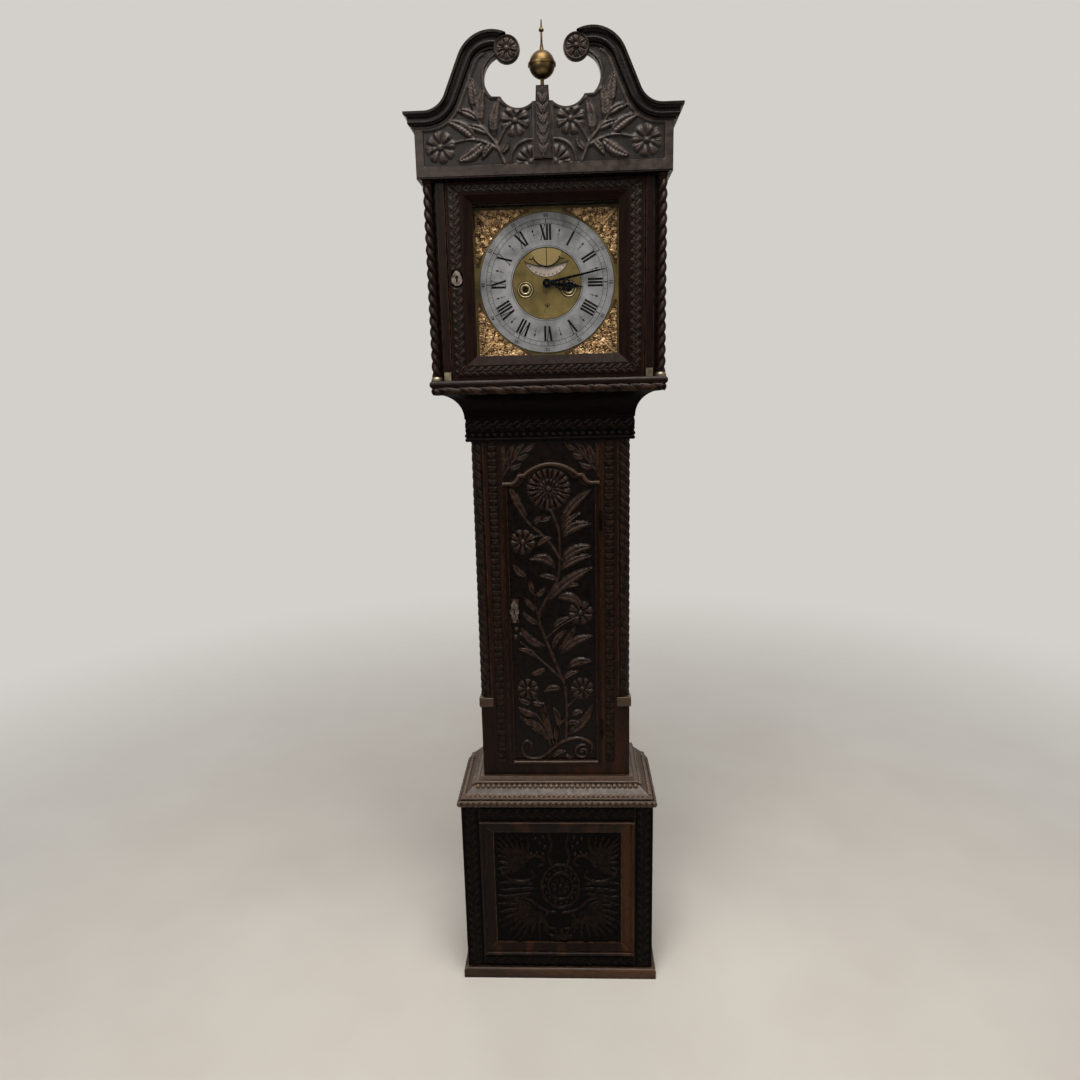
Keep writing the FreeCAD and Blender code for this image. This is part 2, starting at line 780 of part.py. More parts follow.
def make_hinges():
    """Door halves carry the middle knuckle, case halves the outer knuckles and the pin."""
    x, y = hinge_axis()
    half = door_hinge_height / 2
    third = door_hinge_height * hinge_middle_share
    door_pieces = []
    case_pieces = []
    door_leaves = hinge_leaves(door_half - hinge_leaf_thickness, door_half)
    case_leaves = hinge_leaves(door_half + door_gap, door_half + door_gap + hinge_leaf_thickness)
    for middle, door_leaf, case_leaf in zip(hinge_middles(), door_leaves, case_leaves):
        low = middle - half
        high = middle + half
        inner = pole(hinge_knuckle_radius, x, y, middle - third, middle + third)
        outer = pole(hinge_knuckle_radius, x, y, low, high)
        room = hinge_knuckle_radius + free_gap
        middle_room = pole(room, x, y, middle - third - free_gap, middle + third + free_gap)
        end_room = pole(room, x, y, low, high).cut(pole(room, x, y, middle - third, middle + third))
        pin = pole(hinge_pin_radius, x, y, low, high)
        bore = pole(hinge_pin_radius + running_play, x, y, low, high)
        door_pieces.append(door_leaf.cut(end_room).fuse(inner).cut(bore).removeSplitter())
        case_pieces.append(case_leaf.cut(middle_room).fuse(outer.cut(middle_room)).fuse(pin).removeSplitter())
    return door_pieces, case_pieces


def make_trunk_door():
    front = trunk_y - door_proud
    back = front + door_thickness
    board = front_prism(door_outline(0), front, back)
    board = board.cut(front_prism(door_outline(-door_border), front, front + door_field_sink))
    for leaf in hinge_leaves(door_half - hinge_leaf_thickness, door_half):
        board = board.cut(leaf)
    x = -door_escutcheon_half
    z = lock_level()
    board = board.cut(rod(keyhole_radius, x, z, front, back))
    return [board.cut(box(x - keyhole_width / 2, x + keyhole_width / 2, front, back, z - keyhole_drop, z))]


def bolt_room(clear):
    back = trunk_y - door_proud + door_thickness
    middle_y = back + lock_thickness / 2
    end = -door_half + free_gap
    half_height = bolt_height / 2 + clear
    half_depth = bolt_thickness / 2 + clear
    return box(end, end + bolt_length + clear, middle_y - half_depth, middle_y + half_depth,
               lock_level() - half_height, lock_level() + half_height)


def make_lock():
    back = trunk_y - door_proud + door_thickness
    left = -door_half + lock_edge
    case = box(left, left + lock_width, back, back + lock_thickness, lock_level() - lock_height / 2,
               lock_level() + lock_height / 2)
    return [case.cut(bolt_room(free_gap))]


def with_keyhole(plate, x, face_y, z):
    plate = plate.cut(rod(keyhole_radius, x, z, face_y - escutcheon_thickness, face_y))
    return [plate.cut(box(x - keyhole_width / 2, x + keyhole_width / 2, face_y - escutcheon_thickness, face_y,
                          z - keyhole_drop, z))]


def make_trunk_door_escutcheon():
    """A long plate of five rounds in a row, the largest around the keyhole."""
    x = -door_escutcheon_half
    z = lock_level()
    face_y = trunk_y - door_proud
    rounds = [(escutcheon_lobe_radius, escutcheon_lobe_rise), (escutcheon_lobe_radius, -escutcheon_lobe_rise),
              (escutcheon_tip_radius, escutcheon_tip_rise), (escutcheon_tip_radius, -escutcheon_tip_rise)]
    plate = rod(escutcheon_radius, x, z, face_y - escutcheon_thickness, face_y)
    for radius, rise in rounds:
        plate = plate.fuse(rod(radius, x, z + rise, face_y - escutcheon_thickness, face_y))
    return with_keyhole(plate.removeSplitter(), x, face_y, z)


# Hood
def hood_pin_axis():
    return hood_door_half - hood_pin_inset, hood_door_y + hood_pin_inset


def make_hood_base_frame():
    nose = hood_bar_reach * hood_bar_nose_share
    middle = (hood_foot_z + hood_floor_z) / 2
    wider = hood_bar_side_reach - hood_bar_reach
    inner = -side_thickness - wider
    profile = [(inner, hood_foot_z), (nose, hood_foot_z), (hood_bar_reach, middle, nose, hood_floor_z),
               (inner, hood_floor_z)]
    front, left, right = moulding(profile, hood_half + wider, hood_y)
    x, y = hood_pin_axis()
    hole = pole(hood_pin_radius + running_play, x, y, hood_floor_z - hood_pin_length, hood_floor_z)
    return [front.cut(hole), left, right]


def make_hood_sides():
    return both_sides(box(hood_inner_half, hood_half, mask_y, back_y, hood_floor_z, hood_head_z))


def make_hood_uprights():
    return both_sides(box(upright_inner_half, hood_half, hood_y, mask_y, hood_floor_z, hood_head_z))


def make_dial_mask():
    back = mask_y + mask_thickness
    low = dial_z - mask_half
    high = dial_z + mask_half
    stile = box(mask_half, hood_inner_half, mask_y, back, low, high)
    low_rail = box(-hood_inner_half, hood_inner_half, mask_y, back, hood_floor_z, low)
    high_rail = box(-hood_inner_half, hood_inner_half, mask_y, back, high, hood_head_z)
    return both_sides(stile) + [low_rail, high_rail]


def make_hood_top_frame():
    reach = pediment_half - hood_half
    foot = reach * top_frame_foot_share
    lip_z = hood_head_z + top_frame_height * top_frame_lip_share
    middle_out = foot + (reach - foot) * (1 - round_share)
    middle_z = hood_head_z + (lip_z - hood_head_z) * round_share
    profile = [(-side_thickness, hood_head_z), (foot, hood_head_z), (middle_out, middle_z, reach, lip_z),
               (reach, pediment_z), (-side_thickness, pediment_z)]
    front, left, right = moulding(profile, hood_half, pediment_y + reach)
    x, y = hood_pin_axis()
    hole = pole(hood_pin_radius + running_play, x, y, hood_head_z, hood_head_z + hood_pin_length)
    return [front.cut(hole), left, right]


def neck_tangent():
    """Angle of the straight between hollow and crown, and its two ends on the left neck's top edge."""
    hollow = V(-neck_hollow_half, 0, cornice_z + neck_hollow_radius)
    crown = V(-neck_crown_half, 0, cornice_z + neck_crown_rise)
    across = crown - hollow
    lean = math.acos((neck_hollow_radius + neck_crown_radius) / across.Length)
    angle = math.atan2(across.z, across.x) - lean
    outward = V(math.cos(angle), 0, math.sin(angle))
    return angle, outward, hollow, crown


def make_pediment_board():
    angle, outward, hollow, crown = neck_tangent()
    low_point = hollow + outward * neck_hollow_radius
    high_point = crown - outward * neck_crown_radius
    hollow_angle = (angle - math.pi / 2) / 2
    hollow_middle = (hollow.x + neck_hollow_radius * math.cos(hollow_angle),
                     hollow.z + neck_hollow_radius * math.sin(hollow_angle))
    end_x = -neck_end_half
    end_z = crown.z + math.sqrt(neck_crown_radius ** 2 - (end_x - crown.x) ** 2)
    crown_angle = (angle + math.pi + math.atan2(end_z - crown.z, end_x - crown.x)) / 2
    crown_middle = (crown.x + neck_crown_radius * math.cos(crown_angle),
                    crown.z + neck_crown_radius * math.sin(crown_angle))
    scoop_z = cornice_z + scoop_rise
    scoop_top = scoop_z + math.sqrt(scoop_radius ** 2 - (neck_end_half - scoop_half) ** 2)
    scoop_foot = scoop_z - math.sqrt(scoop_radius ** 2 - (scoop_foot_half - scoop_half) ** 2)
    seat_z = cornice_z + plinth_seat_rise
    left = [(-pediment_half, pediment_z), (-pediment_half, cornice_z), (-neck_hollow_half, cornice_z),
            hollow_middle + (low_point.x, low_point.z), (high_point.x, high_point.z),
            crown_middle + (end_x, end_z), (end_x, scoop_top),
            (-scoop_half - scoop_radius, scoop_z, -scoop_foot_half, scoop_foot),
            (-cusp_half, cornice_z + cusp_rise), (-dip_half, cornice_z + dip_rise, -plinth_seat_half, seat_z),
            (0, seat_z), (0, pediment_z)]
    half_board = front_prism(left, pediment_y, pediment_back_y)
    other_half = half_board.mirror(V(0, 0, 0), V(1, 0, 0))
    return [half_board.fuse(other_half).removeSplitter()]


def make_hood_top_boards():
    roof_foot_z = cornice_z - roof_drop
    inner = pediment_half - side_thickness
    side = box(inner, pediment_half, pediment_back_y, back_y, pediment_z, cornice_z)
    roof = box(-inner, inner, pediment_back_y, back_y, roof_foot_z, roof_foot_z + roof_thickness)
    return both_sides(side) + [roof]


def make_cornice_mouldings():
    """Swan necks swept along straight, hollow, straight and crown, and the cornice returns at the sides."""
    angle, outward, hollow, crown = neck_tangent()
    profile = shaped(cornice_shares, cornice_reach, cornice_drop)
    tip = pediment_half + cornice_reach
    low = cornice_z - cornice_drop
    tip_y = pediment_y - cornice_reach

    def section(point, drop_way):
        return Part.Face(wire(profile, lambda out, drop: V(point.x + drop_way.x * drop, pediment_y - out,
                                                           point.z + drop_way.z * drop)))

    flat_plan = [(-tip, tip_y), (-neck_hollow_half, tip_y), (-neck_hollow_half, pediment_y),
                 (-pediment_half, pediment_y)]
    flat = section(V(-tip, 0, cornice_z), V(0, 0, -1)).extrude(V(tip - neck_hollow_half, 0, 0))
    flat = flat.common(plan_prism(flat_plan, low, cornice_z))
    hollow_start = section(V(hollow.x, 0, cornice_z), V(0, 0, -1))
    hollow_turn = math.degrees(angle) + 90
    hollow_run = hollow_start.revolve(hollow, V(0, -1, 0), hollow_turn)
    low_point = hollow + outward * neck_hollow_radius
    high_point = crown - outward * neck_crown_radius
    straight_run = section(low_point, outward).extrude(high_point - low_point)
    crown_turn = math.degrees(angle) + 180 - crown_end_degrees
    crown_run = section(high_point, outward).revolve(crown, V(0, 1, 0), crown_turn)
    rosette_room = rod(rosette_radius + fit_play, -rosette_half, cornice_z + rosette_rise, tip_y, pediment_y)
    neck = flat.fuse([hollow_run, straight_run, crown_run]).cut(rosette_room).removeSplitter()
    return_face = Part.Face(wire(profile, lambda out, drop: V(-pediment_half - out, tip_y, cornice_z - drop)))
    return_plan = [(-tip, tip_y), (-tip, back_y), (-pediment_half, back_y), (-pediment_half, pediment_y)]
    side_return = return_face.extrude(V(0, back_y - tip_y, 0)).common(plan_prism(return_plan, low, cornice_z))
    neck = max(neck.Solids, key=lambda solid: solid.Volume)
    return both_sides(neck) + both_sides(side_return)


def make_rosettes():
    profile = shaped(rosette_shares, rosette_radius, -rosette_reach, 0, pediment_y)
    return both_sides(turned_level(profile, rosette_half, cornice_z + rosette_rise))


def plinth_top():
    return cornice_z + plinth_rise


def make_finial_plinth():
    foot = cornice_z - plinth_foot_drop
    front = pediment_y - plinth_reach
    face = [(-plinth_foot_half, foot), (plinth_foot_half, foot), (plinth_top_half, plinth_top()),
            (-plinth_top_half, plinth_top())]
    strip = front_prism(face, front, pediment_y)
    seat_z = cornice_z + plinth_seat_rise
    half_at_seat = plinth_top_half + (plinth_foot_half - plinth_top_half) * (plinth_top() - seat_z) / (
        plinth_top() - foot)
    block_face = [(-half_at_seat, seat_z), (half_at_seat, seat_z), (plinth_top_half, plinth_top()),
                  (-plinth_top_half, plinth_top())]
    block = front_prism(block_face, pediment_y, pediment_y + plinth_seat_depth)
    return [strip.fuse(block).removeSplitter()]


def make_finial():
    """A ball with a flange round its middle, on a short neck, under a thin spire with a knob."""
    foot = plinth_top()
    y = pediment_y + plinth_seat_depth / 2
    base = shaped(finial_shares, finial_foot_radius, finial_height, 0, foot)
    neck_radius = base.pop()[0]
    ball_z = foot + finial_ball_rise
    tip_z = foot + finial_height

    def on_ball(angle):
        return finial_ball_radius * math.cos(angle), ball_z + finial_ball_radius * math.sin(angle)

    foot_angle = -math.acos(neck_radius / finial_ball_radius)
    rim_angle = math.asin(finial_flange_height / 2 / finial_ball_radius)
    head_angle = math.acos(spire_foot_radius / finial_ball_radius)
    rim_z = finial_flange_height / 2
    spire_z = on_ball(head_angle)[1]
    spire = tip_z - spire_z
    low_ball = on_ball((foot_angle - rim_angle) / 2) + on_ball(-rim_angle)
    high_ball = on_ball((rim_angle + head_angle) / 2) + on_ball(head_angle)
    flange = [(finial_flange_radius, ball_z - rim_z), (finial_flange_radius, ball_z + rim_z),
              on_ball(rim_angle)]
    knob = [(spire_rod_radius, spire_z + spire * spire_flare_share),
            (spire_rod_radius, spire_z + spire * spire_knob_foot_share),
            (spire_knob_radius, spire_z + spire * spire_knob_share,
             spire_rod_radius, spire_z + spire * spire_knob_head_share)]
    profile = base + [on_ball(foot_angle), low_ball] + flange + [high_ball] + knob
    return [turned(profile + [(spire_tip_radius, tip_z), (0, tip_z)], 0, y)]


def column_place():
    return column_half, trunk_y - column_reach


def column_foot():
    x, y = column_place()
    low = hood_floor_z
    neck = column_mount_radius * hood_bar_nose_share
    return turned([(0, low), (column_mount_radius, low), (column_mount_radius, low + column_mount_height / 2),
                   (neck, low + column_mount_height), (0, low + column_mount_height)], x, y)


def make_twisted_columns():
    """Rope twist of rounded strands, carried through turned sections, under a turned head."""
    x, y = column_place()
    low = hood_floor_z + column_mount_height
    length = column_height - 2 * column_mount_height
    step = 2 * math.pi / column_strands
    side = column_lobe_offset * math.sin(step / 2)
    waist = column_lobe_offset * math.cos(step / 2) + math.sqrt(column_lobe_radius ** 2 - side ** 2)
    crest = column_lobe_offset + column_lobe_radius
    sections = round(length / column_lead * column_steps_per_turn)
    wires = []
    for number in range(sections + 1):
        turn = 2 * math.pi * number / column_steps_per_turn
        z = low + length * number / sections

        def polar(radius, angle):
            return radius * math.cos(turn + angle), radius * math.sin(turn + angle)

        start = polar(waist, -step / 2)
        outline = [start]
        for strand in range(column_strands - 1):
            outline.append(polar(crest, strand * step) + polar(waist, (strand + 1 / 2) * step))
        outline.append(polar(crest, -step) + start)
        wires.append(wire(outline, lambda along, across: V(x + along, y + across, z)))
    head = column_foot().mirror(V(0, 0, (hood_floor_z + hood_head_z) / 2), V(0, 0, 1))
    return both_sides(Part.makeLoft(wires, True, False)) + both_sides(head)


def make_column_mounts():
    middle = (upright_inner_half + hood_half) / 2
    half = upright_foot_width / 2
    block = box(middle - half, middle + half, hood_y - upright_foot_thickness, hood_y, hood_floor_z,
                hood_floor_z + upright_foot_height)
    return both_sides(column_foot()) + both_sides(block)


# Hood door
def make_hood_door_frame():
    """Four mitred members of their own widths. The band keeps one share of each width, so the bevels meet."""
    half = hood_door_half
    low = hood_door_foot_z
    high = hood_door_head_z
    back = hood_door_y + hood_door_thickness
    sight_y = hood_door_y + hood_door_bevel
    seat_y = back - glass_seat_depth

    def member(width, place, along, view):
        seat_in = width - glass_lap
        profile = [(0, hood_door_y), (width * hood_door_band_share, hood_door_y), (width, sight_y),
                   (width, seat_y), (seat_in, seat_y), (seat_in, back), (0, back)]
        return Part.Face(wire(profile, place)).extrude(along).common(front_prism(view, hood_door_y, back))

    low_corner = (-hood_sight_half, hood_sight_foot_z)
    high_corner = (-hood_sight_half, hood_sight_head_z)
    upright = member(hood_door_side_width, lambda inward, y: V(inward - half, y, low), V(0, 0, high - low),
                     [(-half, low), (-half, high), high_corner, low_corner])
    foot_rail = member(hood_door_foot_width, lambda inward, y: V(-half, y, low + inward), V(2 * half, 0, 0),
                       [(-half, low), (half, low), (hood_sight_half, hood_sight_foot_z), low_corner])
    head_rail = member(hood_door_head_width, lambda inward, y: V(-half, y, high - inward), V(2 * half, 0, 0),
                       [(-half, high), (half, high), (hood_sight_half, hood_sight_head_z), high_corner])
    x, y = hood_pin_axis()
    low_hole = pole(hood_pin_radius + running_play, x, y, low, low + hood_pin_grip)
    high_hole = pole(hood_pin_radius + running_play, x, y, high - hood_pin_grip, high)
    return [piece.cut(low_hole).cut(high_hole) for piece in both_sides(upright) + [foot_rail, head_rail]]


def make_hood_door_glass():
    seat_y = hood_door_y + hood_door_thickness - glass_seat_depth
    lap = glass_lap - fit_play
    half = hood_sight_half + lap
    return [box(-half, half, seat_y, seat_y + glass_thickness, hood_sight_foot_z - lap,
                hood_sight_head_z + lap)]


def make_hood_door_escutcheon():
    """A drop-shaped plate, pointed at the top."""
    x = -hood_escutcheon_half
    z = dial_z + hood_escutcheon_rise
    outline = shaped(drop_plate_shares, hood_escutcheon_radius, hood_escutcheon_radius, x, z)
    plate = front_prism(outline, hood_door_y - escutcheon_thickness, hood_door_y)
    return with_keyhole(plate, x, hood_door_y, z)


def make_hood_door_pins():
    x, y = hood_pin_axis()
    low = pole(hood_pin_radius, x, y, hood_floor_z - hood_pin_length, hood_door_foot_z + hood_pin_grip)
    collar = pole(hood_pin_radius + hood_pin_inset, x, y, hood_floor_z, hood_door_foot_z)
    high = pole(hood_pin_radius, x, y, hood_door_head_z - hood_pin_grip, hood_head_z + hood_pin_length)
    return [low.fuse(collar).removeSplitter(), high]


# Dial
def crescent_centre():
    """Height above the dial centre and radius of the crescent's lower arc."""
    sag = crescent_horn_rise - crescent_foot_rise
    radius = (crescent_half ** 2 + sag ** 2) / (2 * sag)
    return crescent_foot_rise + radius


def winding_places():
    return (-barrel_half, barrel_z), (barrel_half, barrel_z)


def make_dial_plate():
    back = dial_y + dial_thickness
    plate = box(-dial_half, dial_half, dial_y, back, dial_z - dial_half, dial_z + dial_half)
    plate = plate.cut(rod(dial_hole_radius, 0, dial_z, dial_y, back))
    for x, z in winding_places():
        plate = plate.cut(rod(winding_hole_radius, x, z, dial_y, back))
    horn = dial_z + crescent_horn_rise
    mouth = [(-crescent_half, horn), (0, dial_z + crescent_foot_rise, crescent_half, horn),
             (0, dial_z + crescent_lip_rise, -crescent_half, horn)]
    plate = plate.cut(front_prism(mouth, dial_y, back))
    stud = rod(calendar_stud_radius, 0, dial_z + crescent_centre(), dial_y, back + calendar_stud_length)
    return [plate.fuse(stud).removeSplitter()]


def make_chapter_ring():
    ring = rod(chapter_outer_radius, 0, dial_z, dial_y - chapter_thickness, dial_y)
    return [ring.cut(rod(chapter_inner_radius, 0, dial_z, dial_y - chapter_thickness, dial_y))]


def make_spandrels():
    outer = dial_half - spandrel_edge
    leg = spandrel_leg_half
    round_radius = chapter_outer_radius + spandrel_gap
    inner = math.sqrt(round_radius ** 2 - leg ** 2)
    diagonal = round_radius * math.sqrt(2) / 2
    face = [(outer, dial_z + outer), (outer, dial_z + leg), (inner, dial_z + leg),
            (diagonal, dial_z + diagonal, leg, dial_z + inner), (leg, dial_z + outer)]
    high = front_prism(face, dial_y - spandrel_thickness, dial_y)
    low = high.mirror(V(0, 0, dial_z), V(0, 0, 1))
    return both_sides(high) + both_sides(low)


def make_dial_feet():
    back = dial_y + dial_thickness
    foot_low = rod(dial_foot_radius, dial_foot_half, dial_z - dial_foot_rise, back, plate_y)
    foot_high = rod(dial_foot_radius, dial_foot_half, dial_z + dial_foot_rise, back, plate_y)
    return both_sides(foot_low) + both_sides(foot_high)


def make_calendar_disc():
    front = dial_y + dial_thickness + calendar_gap
    z = dial_z + crescent_centre()
    disc = rod(calendar_radius, 0, z, front, front + calendar_thickness)
    return [disc.cut(rod(calendar_stud_radius + running_play, 0, z, front, front + calendar_thickness))]


# Hands and the wheels behind the dial
def motion_wheel_y():
    return plate_y - motion_wheel_depth


def make_minute_hand():
    front = dial_y - minute_hand_clear
    tip = dial_z + minute_hand_length
    neck = dial_z + minute_hand_length * minute_neck_share
    face = [(-hand_root_half, dial_z), (-minute_hand_tip_half, neck), (0, tip), (minute_hand_tip_half, neck),
            (hand_root_half, dial_z)]
    hand = front_prism(face, front, front + hand_thickness)
    hand = clock_turn(hand.fuse(rod(hand_hub_radius, 0, dial_z, front, front + hand_thickness)), minute_angle)
    wheel_y = motion_wheel_y()
    radius = split(motion_distance, cannon_teeth, minute_wheel_teeth)
    cannon = wheel(cannon_teeth, radius, 0, 0, dial_z, wheel_y, motion_wheel_thickness, False)
    cannon = cannon.fuse(rod(cannon_radius, 0, dial_z, front + hand_thickness, wheel_y))
    bore = rod(centre_arbor_radius + running_play, 0, dial_z, front, wheel_y + motion_wheel_thickness)
    return [hand.cut(bore).removeSplitter(), cannon.cut(bore).removeSplitter()]


def minute_wheel_phase():
    return mesh_phase(0, cannon_teeth, minute_wheel_teeth, -math.pi / 2)


def make_minute_wheel():
    z = dial_z - motion_distance
    wheel_y = motion_wheel_y()
    phase = minute_wheel_phase()
    radius = split(motion_distance, minute_wheel_teeth, cannon_teeth)
    leaf_radius = split(motion_distance, minute_pinion_leaves, hour_teeth)
    front = wheel_y - motion_step - motion_play
    body = wheel(minute_wheel_teeth, radius, phase, 0, z, wheel_y, motion_wheel_thickness, False)
    body = body.fuse(pinion(minute_pinion_leaves, leaf_radius, phase, 0, z, front, wheel_y))
    bore = rod(minute_stud_radius() + running_play, 0, z, front, wheel_y + motion_wheel_thickness)
    return [body.cut(bore).removeSplitter()]


def minute_stud_radius():
    return arbor_radius / 2


def make_hour_hand():
    front = dial_y - hour_hand_clear
    length = hour_hand_length
    neck = dial_z + length * hand_neck_share
    swell = dial_z + length * hand_swell_share
    face = [(-hand_root_half, dial_z), (-hour_hand_neck_half, neck), (-hour_hand_swell_half, swell),
            (0, dial_z + length), (hour_hand_swell_half, swell), (hour_hand_neck_half, neck),
            (hand_root_half, dial_z)]
    hand = front_prism(face, front, front + hand_thickness)
    hand = clock_turn(hand.fuse(rod(hand_hub_radius, 0, dial_z, front, front + hand_thickness)), hour_angle)
    wheel_y = motion_wheel_y() - motion_step
    radius = split(motion_distance, hour_teeth, minute_pinion_leaves)
    phase = mesh_phase(minute_wheel_phase(), minute_pinion_leaves, hour_teeth, math.pi / 2)
    body = wheel(hour_teeth, radius, phase, 0, dial_z, wheel_y, motion_wheel_thickness, False)
    body = body.fuse(rod(hour_pipe_radius, 0, dial_z, front + hand_thickness, wheel_y))
    bore = rod(cannon_radius + running_play, 0, dial_z, front, wheel_y + motion_wheel_thickness)
    return [hand.cut(bore).removeSplitter(), body.cut(bore).removeSplitter()]


# Movement
def third_place():
    """Third arbor, set by its distances from the centre and the escape arbors."""
    rise = (centre_to_third ** 2 - third_to_escape ** 2 + escape_rise ** 2) / (2 * escape_rise)
    return math.sqrt(centre_to_third ** 2 - rise ** 2), dial_z + rise


def hammer_place():
    return hammer_half, plate_top_z - hammer_drop


def pillar_places():
    low = seat_top_z + pillar_inset
    high = plate_top_z - pillar_inset
    return [(-low_pillar_half, low), (0, low), (low_pillar_half, low), (-pillar_half, high),
            (pillar_half, high)]


def make_movement_plates():
    holes = [(barrel_arbor_radius, x, z) for x, z in winding_places()]
    holes += [(centre_arbor_radius, 0, dial_z), (arbor_radius,) + third_place(), (arbor_radius, 0, escape_z),
              (arbor_radius, 0, pallet_z), (hammer_arbor_radius,) + hammer_place()]
    plates = []
    for front, back in ((plate_y, plate_back_y), (rear_plate_y, rear_plate_back_y)):
        plate = box(-plate_half, plate_half, front, back, seat_top_z, plate_top_z)
        for radius, x, z in holes:
            plate = plate.cut(rod(radius + running_play, x, z, front, back))
        plates.append(plate)
    stud = rod(minute_stud_radius(), 0, dial_z - motion_distance, motion_wheel_y() - motion_step, plate_y)
    plates[0] = plates[0].fuse(stud).removeSplitter()
    return plates + [make_back_cock()]


def make_back_cock():
    """Cock behind the rear plate, its chops hold the head of the suspension spring."""
    top = plate_top_z - cock_drop
    far = pendulum_y + cock_chop_depth / 2
    arm = box(-cock_half, cock_half, rear_plate_back_y, far, top - cock_thickness, top)
    chop_low = pallet_z + free_gap
    chops = box(-cock_chop_half, cock_chop_half, far - cock_chop_depth, far, chop_low, top - cock_thickness)
    return arm.fuse(chops).removeSplitter()


def make_pillars():
    return [rod(pillar_radius, x, z, plate_back_y, rear_plate_y) for x, z in pillar_places()]


def barrel(x, great):
    arbor = rod(barrel_arbor_radius, x, barrel_z, dial_y + dial_thickness / 2, rear_plate_back_y)
    drum = rod(drum_radius, x, barrel_z, drum_y, drum_y + drum_length)
    return arbor.fuse([drum, great]).removeSplitter()


def centre_phase():
    direction = math.atan2(barrel_drop, -barrel_half)
    return mesh_phase(0, great_teeth, centre_pinion_leaves, direction)


def third_phase():
    x, z = third_place()
    return mesh_phase(centre_phase(), centre_teeth, third_pinion_leaves, math.atan2(z - dial_z, x))


def escape_phase():
    x, z = third_place()
    return mesh_phase(third_phase(), third_teeth, escape_pinion_leaves, math.atan2(escape_z - z, -x))


def make_going_barrel():
    distance = math.hypot(barrel_half, barrel_drop)
    radius = split(distance, great_teeth, centre_pinion_leaves)
    y = plate_back_y + great_depth
    great = wheel(great_teeth, radius, 0, barrel_half, barrel_z, y, wheel_thickness, False)
    return [barrel(barrel_half, great)]


def make_strike_barrel():
    y = plate_back_y + strike_great_depth
    radius = strike_great_radius
    great = wheel(strike_great_teeth, radius, 0, -barrel_half, barrel_z, y, wheel_thickness, False)
    return [barrel(-barrel_half, great)]


def pinion_run(wheel_depth):
    front = plate_back_y + wheel_depth - pinion_overlap
    return front, front + pinion_length


def make_centre_wheel():
    distance = math.hypot(barrel_half, barrel_drop)
    phase = centre_phase()
    leaf_front, leaf_back = pinion_run(great_depth)
    leaf_radius = split(distance, centre_pinion_leaves, great_teeth)
    body = wheel(centre_teeth, split(centre_to_third, centre_teeth, third_pinion_leaves), phase, 0, dial_z,
                 plate_back_y + centre_depth, wheel_thickness)
    leaves = pinion(centre_pinion_leaves, leaf_radius, phase, 0, dial_z, leaf_front, leaf_back)
    front = dial_y - minute_hand_clear - hand_thickness
    arbor = rod(centre_arbor_radius, 0, dial_z, front, rear_plate_back_y)
    return [body.fuse([leaves, arbor]).removeSplitter()]


def make_third_wheel():
    x, z = third_place()
    phase = third_phase()
    leaf_front, leaf_back = pinion_run(centre_depth)
    leaf_radius = split(centre_to_third, third_pinion_leaves, centre_teeth)
    body = wheel(third_teeth, split(third_to_escape, third_teeth, escape_pinion_leaves), phase, x, z,
                 plate_back_y + third_depth, wheel_thickness)
    leaves = pinion(third_pinion_leaves, leaf_radius, phase, x, z, leaf_front, leaf_back)
    return [body.fuse([leaves, rod(arbor_radius, x, z, plate_y, rear_plate_back_y)]).removeSplitter()]


def make_escape_wheel():
    phase = escape_phase()
    leaf_front, leaf_back = pinion_run(third_depth)
    leaf_radius = split(third_to_escape, escape_pinion_leaves, third_teeth)
    front = plate_back_y + escape_depth
    pitch = 2 * math.pi / escape_teeth
    root = escape_radius - escape_tooth_depth
    points = []
    for tooth in range(escape_teeth):
        tip = phase + tooth * pitch
        foot = tip - pitch * (1 - wheel_tip_share)
        points.append((root * math.cos(foot), escape_z + root * math.sin(foot)))
        points.append((escape_radius * math.cos(tip), escape_z + escape_radius * math.sin(tip)))
    blank = front_prism(points, front, front + motion_wheel_thickness)
    leaves = pinion(escape_pinion_leaves, leaf_radius, phase, 0, escape_z, leaf_front, leaf_back)
    return [blank.fuse([leaves, rod(arbor_radius, 0, escape_z, plate_y, rear_plate_back_y)]).removeSplitter()]


def make_pallets():
    """Anchor over the escape wheel on its arbor, with the crutch that leads the pendulum rod."""
    front = plate_back_y + escape_depth
    back = front + motion_wheel_thickness
    half = pallet_arm_width / 2
    lean = math.degrees(math.asin(pallet_arm_stand / pallet_rise))
    arm = box(-half, half, front, back, pallet_z - pallet_arm_length, pallet_z)
    arms = []
    for degrees in (lean, -lean):
        swung = arm.copy()
        swung.rotate(V(0, 0, pallet_z), V(0, 1, 0), degrees)
        arms.append(swung)
    crutch_y = pendulum_y - pendulum_rod_radius - crutch_gap
    arbor = rod(arbor_radius, 0, pallet_z, plate_y, crutch_y)
    hub = rod(pallet_arm_width, 0, pallet_z, front, back)
    crutch_foot = pallet_z - crutch_length
    wire_bar = pole(crutch_radius, 0, crutch_y, crutch_foot, pallet_z)
    prong_x = pendulum_rod_radius + crutch_prong_gap + crutch_radius
    bridge = Part.makeCylinder(crutch_radius, 2 * prong_x, V(-prong_x, crutch_y, crutch_foot), V(1, 0, 0))
    prong = rod(crutch_radius, prong_x, crutch_foot, crutch_y, pendulum_y + pendulum_rod_radius)
    return [arbor.fuse(arms + [hub, wire_bar, bridge] + both_sides(prong)).removeSplitter()]


def bell_level():
    return plate_top_z + bell_lift


